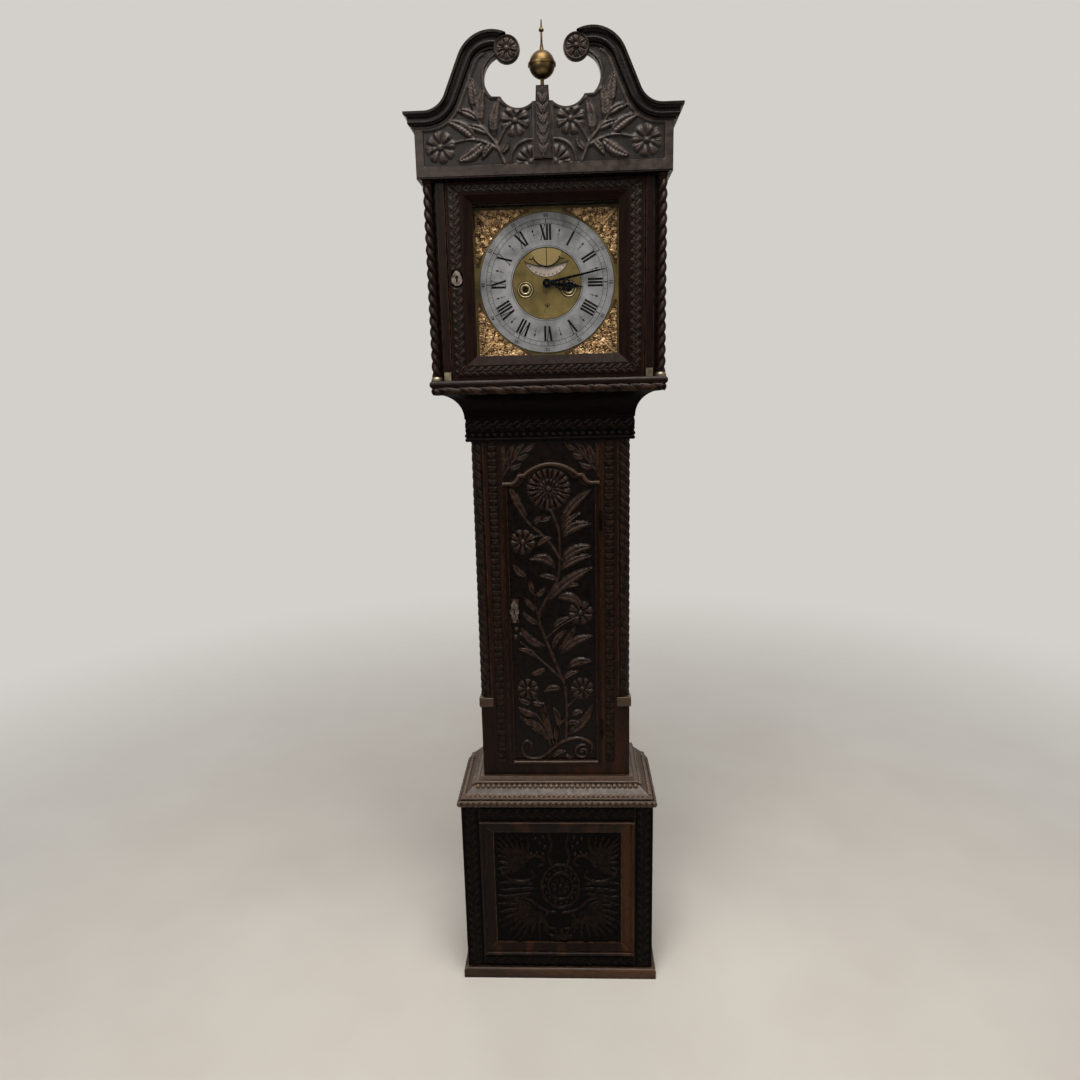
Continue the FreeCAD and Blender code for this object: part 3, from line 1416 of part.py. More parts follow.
def make_bell():
    low = bell_level()
    crown = low + bell_height
    inner = bell_radius - bell_wall
    inner_crown = crown - bell_wall
    flat = bell_flat_radius
    outside = [(bell_radius, low), (bell_radius * round_share, low + bell_height * round_share, flat, crown)]
    inside = [(flat, inner_crown), (inner * round_share, low + (inner_crown - low) * round_share, inner, low)]
    shell = turned(outside + [(0, crown), (0, inner_crown)] + inside, 0, line_y)
    post_x = bell_post_half
    half = bell_post_width / 2
    post_back = rear_plate_back_y + bell_post_thickness
    top = crown + bell_post_thickness
    post = box(post_x - half, post_x + half, rear_plate_back_y, post_back, plate_top_z - bell_post_grip, top)
    arm = box(post_x - half, post_x + half, line_y - half, post_back, crown, top)
    cross = box(-half, post_x + half, line_y - half, line_y + half, crown, top)
    return [shell, post.fuse([arm, cross]).removeSplitter()]


def make_hammer():
    x, z = hammer_place()
    head_low = bell_level()
    half = hammer_arm_width / 2
    head_half = hammer_head_size / 2
    arbor = rod(hammer_arbor_radius, x, z, plate_y, rear_plate_back_y)
    arm = box(x - half, x + half, line_y - half, line_y + half, z, head_low + hammer_head_size)
    head_x = bell_radius + hammer_gap
    head = box(head_x, head_x + hammer_head_length, line_y - head_half, line_y + head_half, head_low,
               head_low + hammer_head_size)
    return [arbor.fuse([arm, head]).removeSplitter()]


# Pendulum, weights and lines
def make_pendulum_rod():
    bob_z = pallet_z - pendulum_length
    spring_foot = pallet_z - suspension_length
    half = suspension_width / 2
    spring = box(-suspension_thickness / 2, suspension_thickness / 2, pendulum_y - half, pendulum_y + half,
                 spring_foot, pallet_z)
    bar = pole(pendulum_rod_radius, 0, pendulum_y, bob_z - pendulum_rod_tail, spring_foot)
    return [spring.fuse(bar).removeSplitter()]


def make_pendulum_bob():
    z = pallet_z - pendulum_length
    rim = bob_radius
    face = [(0, pendulum_y - bob_half_thickness), (rim / 2, pendulum_y - bob_half_thickness * round_share,
                                                   rim, pendulum_y - bob_rim_half),
            (rim, pendulum_y + bob_rim_half), (rim / 2, pendulum_y + bob_half_thickness * round_share,
                                               0, pendulum_y + bob_half_thickness)]
    room = pole(pendulum_rod_radius + running_play, 0, pendulum_y, z - rim, z + rim)
    nut_top = z - rim - rating_nut_gap
    nut = pole(rating_nut_radius, 0, pendulum_y, nut_top - rating_nut_height, nut_top + rating_nut_gap)
    nut_room = pole(pendulum_rod_radius + running_play, 0, pendulum_y, nut_top - rating_nut_height,
                    nut_top + rating_nut_gap)
    lens = turned_level(face, 0, z)
    return [lens.cut(room), nut.cut(nut_room).cut(lens)]


def weight_levels():
    foot = base_floor_height + base_floor_thickness + weight_floor_gap
    body_top = foot + weight_length
    bridge = body_top + weight_neck_length
    axle = bridge + stirrup_thickness + pulley_radius + stirrup_gap
    return foot, body_top, bridge, axle


def weight(side):
    """Iron weight with its neck, the pulley, and the stirrup that joins them."""
    near, middle, far = line_places()
    x = side * middle
    foot, body_top, bridge, axle = weight_levels()
    edge = weight_radius * round_share
    rise = weight_dome * (1 - round_share)
    body = turned([(0, foot), (edge, foot + rise, weight_radius, foot + weight_dome),
                   (weight_radius, body_top - weight_dome),
                   (edge, body_top - rise, weight_neck_radius, body_top), (weight_neck_radius, bridge),
                   (0, bridge)], x, line_y)
    half_pulley = pulley_thickness / 2
    groove = pulley_radius - pulley_groove_depth
    sheave = turned_level([(0, line_y - half_pulley), (pulley_radius, line_y - half_pulley), (groove, line_y),
                           (pulley_radius, line_y + half_pulley), (0, line_y + half_pulley)], x, axle)
    inner_y = half_pulley + stirrup_gap
    outer_y = inner_y + stirrup_thickness
    axle_bar = rod(arbor_radius, x, axle, line_y - outer_y, line_y + outer_y)
    sheave = sheave.cut(rod(arbor_radius + running_play, x, axle, line_y - outer_y, line_y + outer_y))
    half_width = stirrup_width / 2
    top = axle + half_width
    front_plate = box(x - half_width, x + half_width, line_y - outer_y, line_y - inner_y, bridge, top)
    rear_plate = box(x - half_width, x + half_width, line_y + inner_y, line_y + outer_y, bridge, top)
    foot_plate = box(x - half_width, x + half_width, line_y - outer_y, line_y + outer_y, bridge,
                     bridge + stirrup_thickness)
    stirrup = front_plate.fuse([rear_plate, foot_plate, axle_bar]).removeSplitter()
    return [body, sheave, stirrup]


def line(side):
    """Gut line from the barrel down round the pulley and up to the seatboard."""
    near, middle, far = line_places()
    foot, body_top, bridge, axle = weight_levels()
    start = V(side * near, line_y, barrel_z)
    low_near = V(side * near, line_y, axle)
    low_far = V(side * far, line_y, axle)
    end = V(side * far, line_y, seat_top_z)
    bend = Part.Arc(low_near, V(side * middle, line_y, axle - pulley_radius), low_far).toShape()
    path = Part.Wire([Part.makeLine(start, low_near), bend, Part.makeLine(low_far, end)])
    ring = Part.Wire([Part.makeCircle(line_radius, start, V(0, 0, 1))])
    return [path.makePipeShell([ring], True, False)]


def write(node, pieces):
    solids = [solid for piece in pieces for solid in piece.Solids]
    shape = solids[0] if len(solids) == 1 else Part.makeCompound(solids)
    shape.exportStep(os.path.join("parts", node + ".step"))
    print(node, len(solids), all(solid.isValid() for solid in solids))


os.makedirs("parts", exist_ok=True)
door_hinges, case_hinges = make_hinges()
write("backboard", make_backboard())
write("base_frame", make_base_frame())
write("base_panel", make_base_panel())
write("base_sides", make_base_sides())
write("base_floor", make_base_floor())
write("skirting", make_skirting())
write("base_moulding", make_base_moulding())
write("trunk_sides", make_trunk_sides())
write("trunk_frame", make_trunk_frame())
write("corner_columns", make_corner_columns())
write("frieze", make_frieze())
write("throat_moulding", make_throat_moulding())
write("seatboard", make_seatboard())
write("trunk_door", make_trunk_door())
write("trunk_door_hinges", door_hinges)
write("trunk_case_hinges", case_hinges)
write("trunk_door_lock", make_lock())
write("trunk_lock_bolt", [bolt_room(0)])
write("trunk_door_escutcheon", make_trunk_door_escutcheon())
write("hood_base_frame", make_hood_base_frame())
write("hood_sides", make_hood_sides())
write("hood_uprights", make_hood_uprights())
write("dial_mask", make_dial_mask())
write("hood_top_frame", make_hood_top_frame())
write("pediment_board", make_pediment_board())
write("hood_top_boards", make_hood_top_boards())
write("cornice_mouldings", make_cornice_mouldings())
write("scroll_rosettes", make_rosettes())
write("finial_plinth", make_finial_plinth())
write("finial", make_finial())
write("twisted_columns", make_twisted_columns())
write("column_mounts", make_column_mounts())
write("hood_door_frame", make_hood_door_frame())
write("hood_door_glass", make_hood_door_glass())
write("hood_door_pins", make_hood_door_pins())
write("hood_door_escutcheon", make_hood_door_escutcheon())
write("dial_plate", make_dial_plate())
write("chapter_ring", make_chapter_ring())
write("dial_spandrels", make_spandrels())
write("dial_feet", make_dial_feet())
write("calendar_disc", make_calendar_disc())
write("minute_hand", make_minute_hand())
write("hour_hand", make_hour_hand())
write("minute_wheel", make_minute_wheel())
write("movement_plates", make_movement_plates())
write("movement_pillars", make_pillars())
write("going_barrel", make_going_barrel())
write("strike_barrel", make_strike_barrel())
write("centre_wheel", make_centre_wheel())
write("third_wheel", make_third_wheel())
write("escape_wheel", make_escape_wheel())
write("pallets", make_pallets())
write("bell", make_bell())
write("hammer", make_hammer())
write("pendulum_rod", make_pendulum_rod())
write("pendulum_bob", make_pendulum_bob())
write("going_weight", weight(1))
write("strike_weight", weight(-1))
write("going_line", line(1))
write("strike_line", line(-1))
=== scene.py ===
# %% [markdown]
# # A carved oak longcase clock
# The real clock is a tall case of old oak, almost black from wax and smoke, with a brass dial behind a
# small glazed door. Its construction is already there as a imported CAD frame. This lesson loads that frame,
# sets up a camera and lights, gives every surface its finish, and then carves what a plain solid lacks:
# foliage, beads, rope and numerals.

# %% Load the frame
import json
import math

import bpy
import numpy as np
from mathutils import Matrix, Vector
from mathutils.bvhtree import BVHTree
from mathutils.kdtree import KDTree


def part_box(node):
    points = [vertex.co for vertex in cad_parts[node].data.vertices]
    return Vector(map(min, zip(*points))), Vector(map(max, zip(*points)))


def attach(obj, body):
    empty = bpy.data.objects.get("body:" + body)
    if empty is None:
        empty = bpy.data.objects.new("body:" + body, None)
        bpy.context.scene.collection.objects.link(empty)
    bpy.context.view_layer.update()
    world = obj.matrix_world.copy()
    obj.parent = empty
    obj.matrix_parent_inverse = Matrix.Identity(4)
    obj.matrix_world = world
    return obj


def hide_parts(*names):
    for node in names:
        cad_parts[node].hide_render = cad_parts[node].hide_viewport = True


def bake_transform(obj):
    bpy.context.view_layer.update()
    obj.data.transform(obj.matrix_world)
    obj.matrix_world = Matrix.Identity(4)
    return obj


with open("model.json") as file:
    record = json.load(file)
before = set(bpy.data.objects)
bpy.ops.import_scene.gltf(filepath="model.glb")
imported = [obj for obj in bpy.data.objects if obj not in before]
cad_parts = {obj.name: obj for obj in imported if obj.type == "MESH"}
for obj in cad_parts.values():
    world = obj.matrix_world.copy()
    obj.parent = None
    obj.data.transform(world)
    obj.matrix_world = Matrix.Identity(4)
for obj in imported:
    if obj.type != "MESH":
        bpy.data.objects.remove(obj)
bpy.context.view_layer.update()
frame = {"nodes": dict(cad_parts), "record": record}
nodes = frame["nodes"]
MM = 0.001

# %% [markdown]
# ## Camera
# The clock was seen from a little above its middle, from close by, with the camera tipped down and turned
# slightly. The place, the three turns and the lens were worked out from edges of known size, so the camera
# is set by numbers instead of being aimed at a target.

# %% Camera
TURN, TIP, TILT = 2.57, 12.27, -1.36  # degrees left, down, and about the line of sight
CAMERA_PLACE, LENS, SENSOR = (0.042, -1.746, 1.456), 25.72, 36
SHIFT_X, SHIFT_Y = 0.0030, 0.0039
turn, tip, tilt = (math.radians(value) for value in (TURN, TIP, TILT))
ahead = Vector((-math.sin(turn) * math.cos(tip), math.cos(turn) * math.cos(tip), -math.sin(tip)))
level = Vector((math.cos(turn), math.sin(turn), 0))
above = level.cross(ahead)
right = math.cos(tilt) * level + math.sin(tilt) * above
up = math.cos(tilt) * above - math.sin(tilt) * level
camera_data = bpy.data.cameras.new("camera")
camera = bpy.data.objects.new("camera", camera_data)
bpy.context.scene.collection.objects.link(camera)
bpy.context.scene.camera = camera
camera.matrix_world = Matrix((right, up, -ahead)).transposed().to_4x4()
camera.location = CAMERA_PLACE
camera_data.sensor_width = SENSOR
camera_data.lens = LENS
camera_data.shift_x = SHIFT_X
camera_data.shift_y = SHIFT_Y
bpy.context.scene.view_settings.view_transform = "Standard"
print("camera at", CAMERA_PLACE, "lens", LENS, "mm")

# %% [markdown]
# ## Nodes and colours
# Every finish below is a small tree of shader nodes. One function turns a colour as it is written on
# screen into the linear values that the shader wants. One adds a node and makes its links. The others are
# short names for the few kinds of node that the finishes are made of.

# %% Helpers for materials
A, B, MIXED = 6, 7, 2  # colour sockets of a Mix node
VECTOR_A, VECTOR_B, VECTOR_MIXED = 4, 5, 1  # its vector sockets


def ink(code):
    """A colour written as sRGB hex, as linear red, green, blue and alpha."""
    channels = [int(code[place:place + 2], 16) / 255 for place in (1, 3, 5)]
    return [c / 12.92 if c <= 0.04045 else ((c + 0.055) / 1.055) ** 2.4 for c in channels] + [1.0]


def connect(tree, node, sockets):
    """Each socket gets a value, or a link if it is given another node's output."""
    for socket, value in sockets.items():
        if isinstance(value, bpy.types.NodeSocket):
            tree.links.new(value, node.inputs[socket])
        else:
            node.inputs[socket].default_value = value


def add(tree, kind, sockets=None, **settings):
    """A node with its settings and sockets."""
    node = tree.nodes.new("ShaderNode" + kind)
    for setting, value in settings.items():
        setattr(node, setting, value)
    connect(tree, node, sockets or {})
    return node


def ramp(tree, factor, *stops):
    """A colour ramp from (place, colour) stops."""
    node = add(tree, "ValToRGB", {"Fac": factor})
    while len(node.color_ramp.elements) < len(stops):
        node.color_ramp.elements.new(0.5)
    for element, (place, colour) in zip(node.color_ramp.elements, stops):
        element.position = place
        element.color = colour
    return node.outputs["Color"]


def fade(tree, factor, *stops):
    """A ramp between greys, used as a share."""
    return ramp(tree, factor, *((place, [value, value, value, 1.0]) for place, value in stops))


def mix(tree, share, first, second):
    """Two colours, with a share of the second."""
    return add(tree, "Mix", {0: share, A: first, B: second}, data_type="RGBA").outputs[MIXED]


def reckon(tree, operation, *values):
    """A sum with plain numbers."""
    return add(tree, "Math", dict(enumerate(values)), operation=operation).outputs[0]


def span(tree, value, low, high, to_low=0.0, to_high=1.0):
    """A value carried from one range to another."""
    sockets = {"Value": value, "From Min": low, "From Max": high, "To Min": to_low, "To Max": to_high}
    return add(tree, "MapRange", sockets).outputs["Result"]


def noise(tree, place, size, detail, distortion=0.0):
    """Clouds with marks of a given size in metres."""
    sockets = {"Vector": place, "Scale": 1 / size, "Detail": detail, "Distortion": distortion}
    return add(tree, "TexNoise", sockets).outputs["Fac"]


def bump(tree, sockets):
    """A normal that follows a height."""
    return add(tree, "Bump", sockets).outputs[0]


def blank(name):
    """A new material with its shader, and the coordinates of the piece."""
    material = bpy.data.materials.new(name)
    material.use_nodes = True
    tree = material.node_tree
    return material, tree, tree.nodes["Principled BSDF"], add(tree, "TexCoord").outputs["Object"]


print("helpers ready")

# %% [markdown]
# ## Light, floor and background
# Dark wax shows mostly what it mirrors, so the room matters as much as the wood. A wide soft light stands
# in front to the left, a weaker one to the right, and one overhead catches the upward faces of the
# mouldings. A fourth lights the back. The surroundings are pale at eye level, lighter above and darker
# below, as in a plain room.

# %% World
world = bpy.data.worlds.new("studio")
bpy.context.scene.world = world
world.use_nodes = True
sky = world.node_tree
sky.nodes.clear()
direction = add(sky, "TexCoord").outputs["Generated"]
height = span(sky, add(sky, "SeparateXYZ", {0: direction}).outputs["Z"], -1.0, 1.0)
mirrored = ramp(sky, height, (0.30, ink("#4f4c49")), (0.47, ink("#8c8883")), (0.56, ink("#b3afaa")),
                (0.75, ink("#e4e1dc")))
mirror = add(sky, "Background", {"Color": mirrored, "Strength": 1.0}).outputs[0]
seen = add(sky, "Background", {"Color": ink("#d3d0cb"), "Strength": 1.0}).outputs[0]
lit = add(sky, "Background", {"Color": ink("#e9edf2"), "Strength": 0.20}).outputs[0]
rays = add(sky, "LightPath").outputs
direct = reckon(sky, "MAXIMUM", rays["Is Camera Ray"], rays["Is Transmission Ray"])
fill = add(sky, "MixShader", {0: rays["Is Glossy Ray"], 1: lit, 2: mirror}).outputs[0]
both = add(sky, "MixShader", {0: direct, 1: fill, 2: seen}).outputs[0]
add(sky, "OutputWorld", {"Surface": both})
print("world: pale to the eye, soft fill for the object")


# %% Lamps
def soft_light(name, place, target, size, power, colour):
    """A square area lamp that faces a point."""
    data = bpy.data.lights.new(name, "AREA")
    data.size = size
    data.energy = power
    data.color = ink(colour)[:3]
    lamp = bpy.data.objects.new(name, data)
    bpy.context.scene.collection.objects.link(lamp)
    lamp.location = place
    lamp.rotation_euler = (Vector(target) - Vector(place)).to_track_quat("-Z", "Y").to_euler()


soft_light("front light", (-1.5, -2.9, 2.9), (0, 0, 1.2), 1.8, 34, "#fff6ea")
soft_light("side light", (2.6, -1.9, 2.0), (0, 0, 1.1), 1.6, 14, "#fff3e4")
soft_light("ceiling light", (0.1, -1.0, 3.6), (0, -0.1, 1.0), 1.6, 100, "#fffaf2")
soft_light("back light", (-0.4, 3.2, 2.6), (0, 0, 1.2), 3.0, 26, "#fff6ea")
print("four soft lamps")


# %% Floor
def primitive(kind, **settings):
    """A mesh primitive, added with nothing else selected."""
    bpy.ops.object.select_all(action="DESELECT")
    getattr(bpy.ops.mesh, "primitive_" + kind + "_add")(**settings)
    return bpy.context.object


FLOOR_RADIUS, FADE_START, FADE_END, CLOUD = 4.0, 0.9, 3.6, 1 / 3.0
floor = primitive("circle", vertices=96, radius=FLOOR_RADIUS, fill_type="NGON")
floor.name = "floor"
floor_paint, tree, shader, place = blank("pale studio floor")
speckle = ramp(tree, noise(tree, place, CLOUD, 3.0), (0.3, ink("#c9c5c0")), (0.7, ink("#cfccc7")))
away = add(tree, "VectorMath", {0: place}, operation="LENGTH").outputs["Value"]
solid = add(tree, "MapRange", {"Value": away, "From Min": FADE_END, "From Max": FADE_START},
            interpolation_type="SMOOTHSTEP").outputs["Result"]
connect(tree, shader, {"Base Color": speckle, "Roughness": 0.9, "Specular IOR Level": 0.1, "Alpha": solid})
floor.data.materials.append(floor_paint)
print("floor that fades into the background")

# %% [markdown]
# ## Dark waxed oak
# Old oak that has been waxed for generations is nearly black in the hollows and a warm brown where hands
# and dusters have rubbed it. Long streaks run with the grain and the pores are fine open lines. On the
# plain boards the rubbed places are found with the Bevel node, which turns the normal near an edge. The
# carved pieces carry their own height as an attribute, so crests can be rubbed and the ground left dark.
# Nooks found by the Ambient Occlusion node are darkened as painted shade, and so in part is the carved
# ground.

# %% Oak
STREAK, PORE, PATCH, RUB, BARE = 0.007, 0.0011, 0.11, 0.012, 0.06  # sizes of the marks across the grain
LONG = 0.07  # how dense the marks lie along the grain
GRAIN = {"x": (LONG, 1, 1), "y": (1, LONG, 1), "z": (1, 1, LONG)}
EDGE_REACH, NOOK_SHADE, CARVED_NOOK_SHADE = 0.003, 0.02, 0.006  # reach of a rubbed edge, and of the painted shade in a nook
FACING = 0.75  # share of the normal that makes a face a side of the case


def along_grain(tree, place, grain, normal):
    """Coordinates drawn out along the grain. Level grain turns where a moulding runs back along the sides."""
    fibre = add(tree, "Mapping", {"Vector": place, "Scale": GRAIN[grain]}).outputs[0]
    if grain != "x":
        return fibre
    turned = add(tree, "Mapping", {"Vector": place, "Scale": GRAIN["y"]}).outputs[0]
    across = reckon(tree, "ABSOLUTE", add(tree, "SeparateXYZ", {0: normal}).outputs["X"])
    on_side = reckon(tree, "GREATER_THAN", across, FACING)
    sockets = {0: on_side, VECTOR_A: fibre, VECTOR_B: turned}
    return add(tree, "Mix", sockets, data_type="VECTOR").outputs[VECTOR_MIXED]


def planked(tree, place, body, dark, hollow_and_shade, width):
    """Upright planks of one width, each a little darker or lighter, with open joints."""
    count = reckon(tree, "DIVIDE", add(tree, "SeparateXYZ", {0: place}).outputs["X"], width)
    number = reckon(tree, "FLOOR", count)
    tint = add(tree, "TexWhiteNoise", {"W": number}, noise_dimensions="1D").outputs["Value"]
    body = mix(tree, fade(tree, tint, (0.0, 0.0), (1.0, 0.5)), body, dark)
    share = reckon(tree, "FRACT", count)
    joint = fade(tree, share, (0.0, 1.0), (0.012, 0.0), (0.988, 0.0), (1.0, 1.0))
    return mix(tree, joint, body, hollow_and_shade)


def oak(name, grain, tones, gloss, carved=False, warm=None, plank=None):
    """Waxed oak: streaked brown tones from hollow to rubbed crest, a soft gloss and fine open pores. If asked
    for, patches of a warmer tone where the wax has gone, or upright planks of a given width. Nooks, and the
    low ground of carved pieces, are darkened as painted shade."""
    material, tree, shader, place = blank(name)
    surface = add(tree, "NewGeometry").outputs
    fibre = along_grain(tree, place, grain, surface["True Normal"])
    streaks = noise(tree, fibre, STREAK, 5.0, 0.5)
    pores = noise(tree, fibre, PORE, 2.0)
    rubs = noise(tree, place, RUB, 4.0)
    hollow_and_shade, dark, brown, rubbed = (ink(tone) for tone in tones)
    body = ramp(tree, streaks, (0.34, dark), (0.66, brown))
    body = mix(tree, fade(tree, noise(tree, place, PATCH, 3.0), (0.35, 0.0), (0.75, 0.6)), body, brown)
    if warm:
        bare = fade(tree, noise(tree, fibre, BARE, 3.0), (0.50, 0.0), (0.70, 0.85))
        body = mix(tree, bare, body, ink(warm))
    if plank:
        body = planked(tree, place, body, dark, hollow_and_shade, plank)
    body = mix(tree, fade(tree, pores, (0.36, 0.7), (0.46, 0.0)), body, hollow_and_shade)
    reach = CARVED_NOOK_SHADE if carved else NOOK_SHADE
    nook_shade = add(tree, "AmbientOcclusion", {"Distance": reach}, samples=6).outputs["AO"]
    if carved:
        crest = add(tree, "Attribute", attribute_name="relief").outputs["Fac"]
        # the low ground of the carving is darkened, in part for wax and dust lodged there and in part as
        # painted shade
        body = mix(tree, fade(tree, crest, (0.08, 0.9), (0.42, 0.0)), body, hollow_and_shade)
    else:
        rounded = add(tree, "Bevel", {"Radius": EDGE_REACH}, samples=5).outputs["Normal"]
        same = add(tree, "VectorMath", {0: rounded, 1: surface["Normal"]}, operation="DOT_PRODUCT")
        crest = reckon(tree, "MULTIPLY", span(tree, same.outputs["Value"], 0.985, 0.86), nook_shade)
    # painted shade: nooks that the occlusion finds are darkened towards the hollow tone
    body = mix(tree, span(tree, nook_shade, 0.25, 0.85, 0.9, 0.0), body, hollow_and_shade)
    worn = reckon(tree, "MULTIPLY", crest, fade(tree, rubs, (0.34, 0.05), (0.66, 1.0)))
    specular, roughness = gloss
    lines = bump(tree, {"Height": pores, "Strength": 0.22, "Distance": 0.0006})
    waves = bump(tree, {"Height": streaks, "Strength": 0.25, "Distance": 0.0012, "Normal": lines})
    connect(tree, shader, {"Base Color": mix(tree, worn, body, rubbed), "Specular IOR Level": specular,
                           "Roughness": span(tree, rubs, 0.3, 0.7, roughness - 0.07, roughness + 0.09),
                           "Normal": waves})
    return material


# Tones of the hollow, also used as painted shade, the dark streak, the brown streak and the rubbed edge
BOARD = ("#030202", "#0c0605", "#1d0f0a", "#4a3022")
CARVING = ("#030101", "#0b0605", "#1a0f0b", "#3f2c22")
LOW = ("#010101", "#070404", "#110a07", "#33231a")  # carving in the shade, worn and seldom rubbed
DEEP_SHADE = ("#010101", "#050303", "#0d0806", "#231710")  # nearly black as painted shade, low on the clock and under the hood
DUST_AND_SHEEN = ("#131010", "#191514", "#261f1d", "#4a3f3a")  # the top of the clock, greyed by dust and lightened as a painted sheen of the light above
EDGED = ("#020101", "#0a0504", "#190e09", "#6b4d35")  # dark with edges rubbed to the bare wood
RAW = ("#160f0a", "#33251a", "#4d3827", "#6b523c")  # never waxed
RUBBED_HIGHLIT = ("#0c0806", "#2c2018", "#473528", "#7d6856")  # mouldings that hands and dusters reach, lighter also as painted highlight
# beads, lighter from rubbing and as painted highlight
BEADED_HIGHLIT = ("#14100c", "#4a3a2e", "#6d5848", "#a28d79")
BLACK = ("#010101", "#060403", "#100a08", "#2c1f18")
# scuffed skirting, its rubbed edges lighter also as painted highlight
SCUFFED_HIGHLIT = ("#050302", "#1f130c", "#382418", "#8f7560")
PLANK = 0.145  # width of the planks behind
upright_oak = oak("dark waxed oak, upright grain", "z", BOARD, (0.10, 0.32))
level_oak = oak("dark waxed oak, level grain", "x", BOARD, (0.12, 0.32))
dull_oak = oak("dark oak, dull", "z", BOARD, (0.05, 0.5))
warm_oak = oak("waxed oak, worn warm in patches", "z", BOARD, (0.12, 0.32), warm="#3a2011")
edged_oak = oak("dark oak, rubbed bare at the edges", "z", EDGED, (0.10, 0.32), warm="#4d2e17")
# painted shade: this finish and carved_base are darkened for their places low down and under the hood
deep_shade_oak = oak("dark oak, nearly black with painted shade, level grain", "x", DEEP_SHADE, (0.04, 0.34))
# the two finishes of the top carry dust and a painted sheen in their tones
top_oak = oak("dark waxed oak, dusty top with painted sheen", "x", DUST_AND_SHEEN, (0.20, 0.38))
raw_oak = oak("unwaxed oak inside", "z", RAW, (0.2, 0.72))
plank_oak = oak("unwaxed oak planks behind", "z", RAW, (0.2, 0.72), plank=PLANK)
rubbed_highlit_oak = oak("rubbed oak mouldings, painted highlight", "x", RUBBED_HIGHLIT, (0.26, 0.36))
beaded_highlit_oak = oak("rubbed oak beads, painted highlight", "x", BEADED_HIGHLIT, (0.3, 0.34))
black_oak = oak("blackened oak cornice", "x", BLACK, (0.15, 0.27))
skirt_oak = oak("oak skirting, scuffed, painted highlight on edges", "x", SCUFFED_HIGHLIT, (0.2, 0.34), warm="#5a3d28")
carved_low = oak("carved oak, worn and dark with painted shade", "z", LOW, (0.09, 0.30), carved=True)
carved_base = oak("carved oak, nearly black with painted shade", "z", DEEP_SHADE, (0.055, 0.29), carved=True)
carved_upright = oak("carved oak, upright grain", "z", CARVING, (0.14, 0.30), carved=True)
carved_level = oak("carved oak, level grain", "x", CARVING, (0.13, 0.30), carved=True)
carved_top = oak("carved oak, dusty top with painted sheen", "x", DUST_AND_SHEEN, (0.20, 0.36), carved=True)
print("eighteen oak finishes")

# %% [markdown]
# ## Metals, gut and glass
# The brass was once bright and has gone brown in patches. The spandrels keep some of their gilding on the
# high places. The chapter ring was whitened with silver, so it is paler and duller. Steel for the hands
# was heated until blue-black. The matted brass of the dial is paler in an arch over the calendar opening.

# %% Metals
FINE, DENT = 0.0012, 0.0004  # size of fine marks, and their depth


def metal(name, tarnish, middle, bright, roughness, mark=0.02, carved=False, pits=0.0, shine=1.0, bare=None):
    """Old metal: bright places, tarnish in patches, and a roughness that follows them. Bare is a round place
    left paler, as the height of its middle, its radius and its colour."""
    material, tree, shader, place = blank(name)
    cloud = noise(tree, place, mark, 6.0)
    colour = ramp(tree, cloud, (0.30, ink(tarnish)), (0.50, ink(middle)), (0.72, ink(bright)))
    if carved:
        crest = add(tree, "Attribute", attribute_name="relief").outputs["Fac"]
        colour = mix(tree, fade(tree, crest, (0.15, 1.0), (0.60, 0.0)), colour, ink(tarnish))
    if bare:
        middle_z, radius, paler = bare
        spot = add(tree, "VectorMath", {0: place, 1: (1, 0, 1)}, operation="MULTIPLY").outputs["Vector"]
        far = add(tree, "VectorMath", {0: spot, 1: (0, 0, middle_z)}, operation="DISTANCE").outputs["Value"]
        colour = mix(tree, span(tree, far, radius, radius - MM), colour, ink(paler))
    fine = noise(tree, place, FINE, 2.0)
    if pits:
        fine = add(tree, "TexVoronoi", {"Vector": place, "Scale": 1 / pits}).outputs["Distance"]
    dents = bump(tree, {"Height": fine, "Strength": 0.5 if pits else 0.12, "Distance": DENT})
    connect(tree, shader, {"Base Color": colour, "Metallic": shine, "Normal": dents,
                           "Roughness": span(tree, cloud, 0.3, 0.7, roughness + 0.12, roughness - 0.06)})
    return material


ARCH_RISE, ARCH_RADIUS = 0.0658, 0.0312  # the paler arch, from the middle of the dial
dial_middle = sum(corner[2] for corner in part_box("dial_plate")) / 2
brass = metal("aged brass", "#3b2c17", "#7d6436", "#b49a62", 0.34)
dial_brass = metal("matted dial brass", "#504627", "#6e6038", "#867849", 0.52, mark=0.05, pits=0.0011,
                   shine=0.8, bare=(dial_middle + ARCH_RISE, ARCH_RADIUS, "#8c7c54"))
collar_brass = metal("pale turned brass", "#6f6346", "#a39672", "#c8bb98", 0.36)
pale_brass = metal("pale worn brass", "#4a4238", "#7f7564", "#b3a894", 0.38)
finial_brass = metal("brown brass", "#241a0e", "#54432a", "#85734f", 0.34, mark=0.03)
# painted shade: near-black brass for the keyhole, the arbor ends in the winding holes, and hinges and pins in
# the gaps
shade_dark_brass = metal("brass dark as painted shade", "#0d0a07", "#1d150d", "#33261a", 0.45)
gilt = metal("worn gilt brass", "#4a2f14", "#b98748", "#e0b271", 0.36, mark=0.012)
gilt_carved = metal("worn gilt brass, chased", "#4c3922", "#bd9a6e", "#e6c89c", 0.42, mark=0.012, carved=True,
                    shine=0.75)
silvered = metal("silvered brass", "#696b6d", "#85878a", "#9b9da0", 0.50, mark=0.03, shine=0.6)
warm_silver = metal("silvered brass, yellowed", "#8a827b", "#aea39c", "#cbbeb5", 0.50, mark=0.03, shine=0.6)
pewter = metal("worn silvered plate", "#3b3530", "#6d655f", "#968d86", 0.48, mark=0.008)
blued = metal("blued steel", "#08090b", "#101216", "#1c2028", 0.32, mark=0.01)
steel = metal("bright steel", "#6e6c69", "#9a9996", "#bdbcb9", 0.34)
